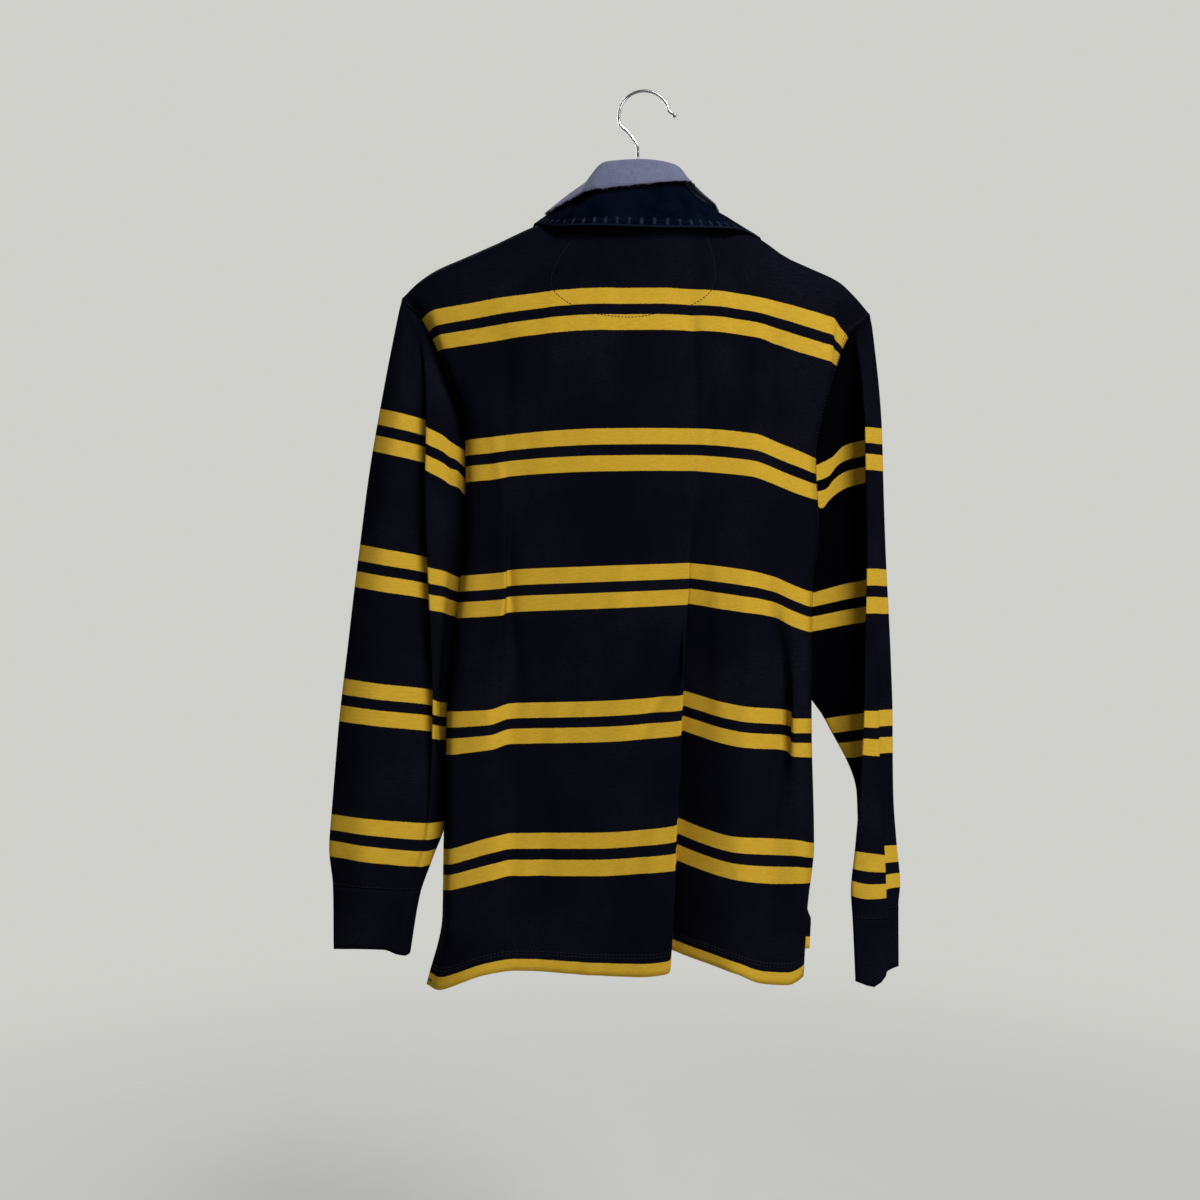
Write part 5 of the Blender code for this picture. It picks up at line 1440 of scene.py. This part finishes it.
def with_ball(path):
    """The path with the ball at its tip added, and the wire's radius along it."""
    ahead = (path[-1] - path[-2]) / np.linalg.norm(path[-1] - path[-2])
    turns = np.radians(np.linspace(*BALL_TURN, BALL_RINGS))
    ball = path[-1] + ahead * BALL_RADIUS * (1 + np.sin(turns))[:, None]
    radii = np.append(np.full(len(path), WIRE_RADIUS), BALL_RADIUS * np.cos(turns))
    return np.vstack([path, ball]), radii


def wire_points(path, radii):
    """Rings of points round a wire whose middle line lies in the hanger's plane."""
    heading = np.gradient(path, axis=0)
    heading /= np.linalg.norm(heading, axis=1, keepdims=True)
    turns = np.linspace(0, 2 * math.pi, WIRE_SIDES, endpoint=False)
    offset = radii[:, None] * np.cos(turns)
    x = path[:, :1] + offset * heading[:, 1:]
    z = -path[:, 1:] + offset * heading[:, :1]
    return np.stack([x, np.outer(radii, np.sin(turns)), z], axis=2).reshape(-1, 3) / 1000


class SHIRT_OT_hanger(MakesPiece, bpy.types.Operator):
    """Makes the hanger's chromed hook and finishes its beech bar"""

    bl_idname = "shirt.hanger"
    bl_label = "Hanger"

    def execute(self, context):
        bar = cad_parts["hanger_body"]
        bar.data.materials.clear()
        bar.data.materials.append(beech("beech_bar", self.colours))
        finish = chrome("chrome_wire", self.colours)
        foot = -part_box("hanger_hook")[0][2] * 1000
        path, radii = with_ball(hook_path(foot))
        faces = tube_faces(len(path), WIRE_SIDES)
        wire = new_mesh("hook_wire", wire_points(path, radii), faces, finish)
        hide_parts("hanger_hook")
        place = np.array([STEM_RIGHT, 0, -foot]) / 1000
        profile = [(share * FERRULE_RADIUS, high) for share, high in FERRULE_PROFILE]
        up, right = np.array([0, 0, 1.0]), np.array([1.0, 0, 0])
        turned("hook_ferrule", profile, place, up, right, finish, FERRULE_SIDES)
        return {"FINISHED"}


def put(name, data, place):
    """A new object at a place in the scene."""
    made = bpy.data.objects.new(name, data)
    made.location = place
    bpy.context.scene.collection.objects.link(made)
    return made


def aim(thing, target):
    """Turns a light or the camera to face a place."""
    thing.rotation_euler = (Vector(target) - thing.location).to_track_quat("-Z", "Y").to_euler()


def lay_floor(finish):
    """The round floor, level and far below the shirt."""
    mesh = bpy.data.meshes.new("studio_floor")
    turns = np.linspace(0, 2 * math.pi, FLOOR_SIDES, endpoint=False)
    rim = np.stack([np.cos(turns), np.sin(turns), turns * 0], 1) * FLOOR_RADIUS
    mesh.from_pydata(rim.tolist(), [], [range(FLOOR_SIDES)])
    mesh.materials.append(finish)
    floor = put("studio_floor", mesh, (EYE_RIGHT / 1000, 0, FLOOR_Z))


def hang_lights(target):
    """The soft round lights, aimed at a place."""
    for name, place, wide, power in LIGHTS:
        lamp = bpy.data.lights.new(name, "AREA")
        lamp.size, lamp.energy = wide, power
        lamp.shape = "DISK"
        aim(put(name, lamp, place), target)


def surroundings():
    """A world that is one pale shade behind the shirt and turns darker before it."""
    world = bpy.data.worlds.new("pale_surroundings")
    world.use_nodes = True
    nodes, links = world.node_tree.nodes, world.node_tree.links
    way = nodes.new("ShaderNodeTexCoord")
    parts = nodes.new("ShaderNodeSeparateXYZ")
    share = nodes.new("ShaderNodeMapRange")
    share.inputs["From Min"].default_value, share.inputs["From Max"].default_value = ROOM_TURNS
    shade = nodes.new("ShaderNodeMix")
    shade.data_type = "RGBA"
    shade.inputs[6].default_value, shade.inputs[7].default_value = rgba(ROOM_BEFORE), rgba(ROOM_BEHIND)
    links.new(way.outputs["Generated"], parts.inputs[0])
    links.new(parts.outputs[1], share.inputs["Value"])
    links.new(share.outputs[0], shade.inputs[0])
    links.new(shade.outputs[2], nodes["Background"].inputs["Color"])
    return world


class SHIRT_OT_stage(MakesPiece, bpy.types.Operator):
    """Makes the pale floor, the soft lights, the pale surroundings and the camera"""

    bl_idname = "shirt.stage"
    bl_label = "Stage"

    def execute(self, context):
        scene = bpy.context.scene
        lay_floor(pale_floor("floor_paint", self.colours))
        middle = (EYE_RIGHT / 1000, 0, -EYE_BELOW / 1000)
        hang_lights(middle)
        scene.world = surroundings()
        scene.view_settings.view_transform = "Standard"
        camera = bpy.data.cameras.new("viewer")
        camera.angle = 2 * math.atan(PICTURE_WIDE / 2 / EYE_AWAY)
        scene.camera = put("viewer", camera, (middle[0], -EYE_AWAY / 1000, middle[2]))
        aim(scene.camera, middle)
        return {"FINISHED"}


OPERATORS = (
    SHIRT_OT_body, SHIRT_OT_sleeves, SHIRT_OT_collar, SHIRT_OT_placket, SHIRT_OT_stitching,
    SHIRT_OT_fray, SHIRT_OT_hanger, SHIRT_OT_stage,
)


class SHIRT_PT_maker(bpy.types.Panel):
    """Lists the shirt's sizes, colours and pieces"""

    bl_idname = "SHIRT_PT_maker"
    bl_label = "Rugby Shirt"
    bl_space_type = "VIEW_3D"
    bl_region_type = "UI"
    bl_category = "Shirt"

    def draw(self, context):
        for group in (context.scene.shirt_sizes, context.scene.shirt_colours):
            column = self.layout.column()
            for name in group.__annotations__:
                column.prop(group, name)
        for operator in OPERATORS:
            self.layout.operator(operator.bl_idname)


CLASSES = (ShirtSizes, ShirtColours, *OPERATORS, SHIRT_PT_maker)


def register():
    """Registers the classes and gives each scene the shirt's sizes and colours."""
    for made in CLASSES:
        bpy.utils.register_class(made)
    bpy.types.Scene.shirt_sizes = bpy.props.PointerProperty(type=ShirtSizes)
    bpy.types.Scene.shirt_colours = bpy.props.PointerProperty(type=ShirtColours)


def unregister():
    """Takes these away again."""
    del bpy.types.Scene.shirt_sizes
    del bpy.types.Scene.shirt_colours
    for made in reversed(CLASSES):
        bpy.utils.unregister_class(made)


def main():
    """Makes the shirt and its stage."""
    register()
    bpy.ops.shirt.body()
    bpy.ops.shirt.sleeves()
    bpy.ops.shirt.collar()
    bpy.ops.shirt.placket()
    bpy.ops.shirt.stitching()
    bpy.ops.shirt.fray()
    bpy.ops.shirt.hanger()
    bpy.ops.shirt.stage()


if __name__ == "__main__":
    main()
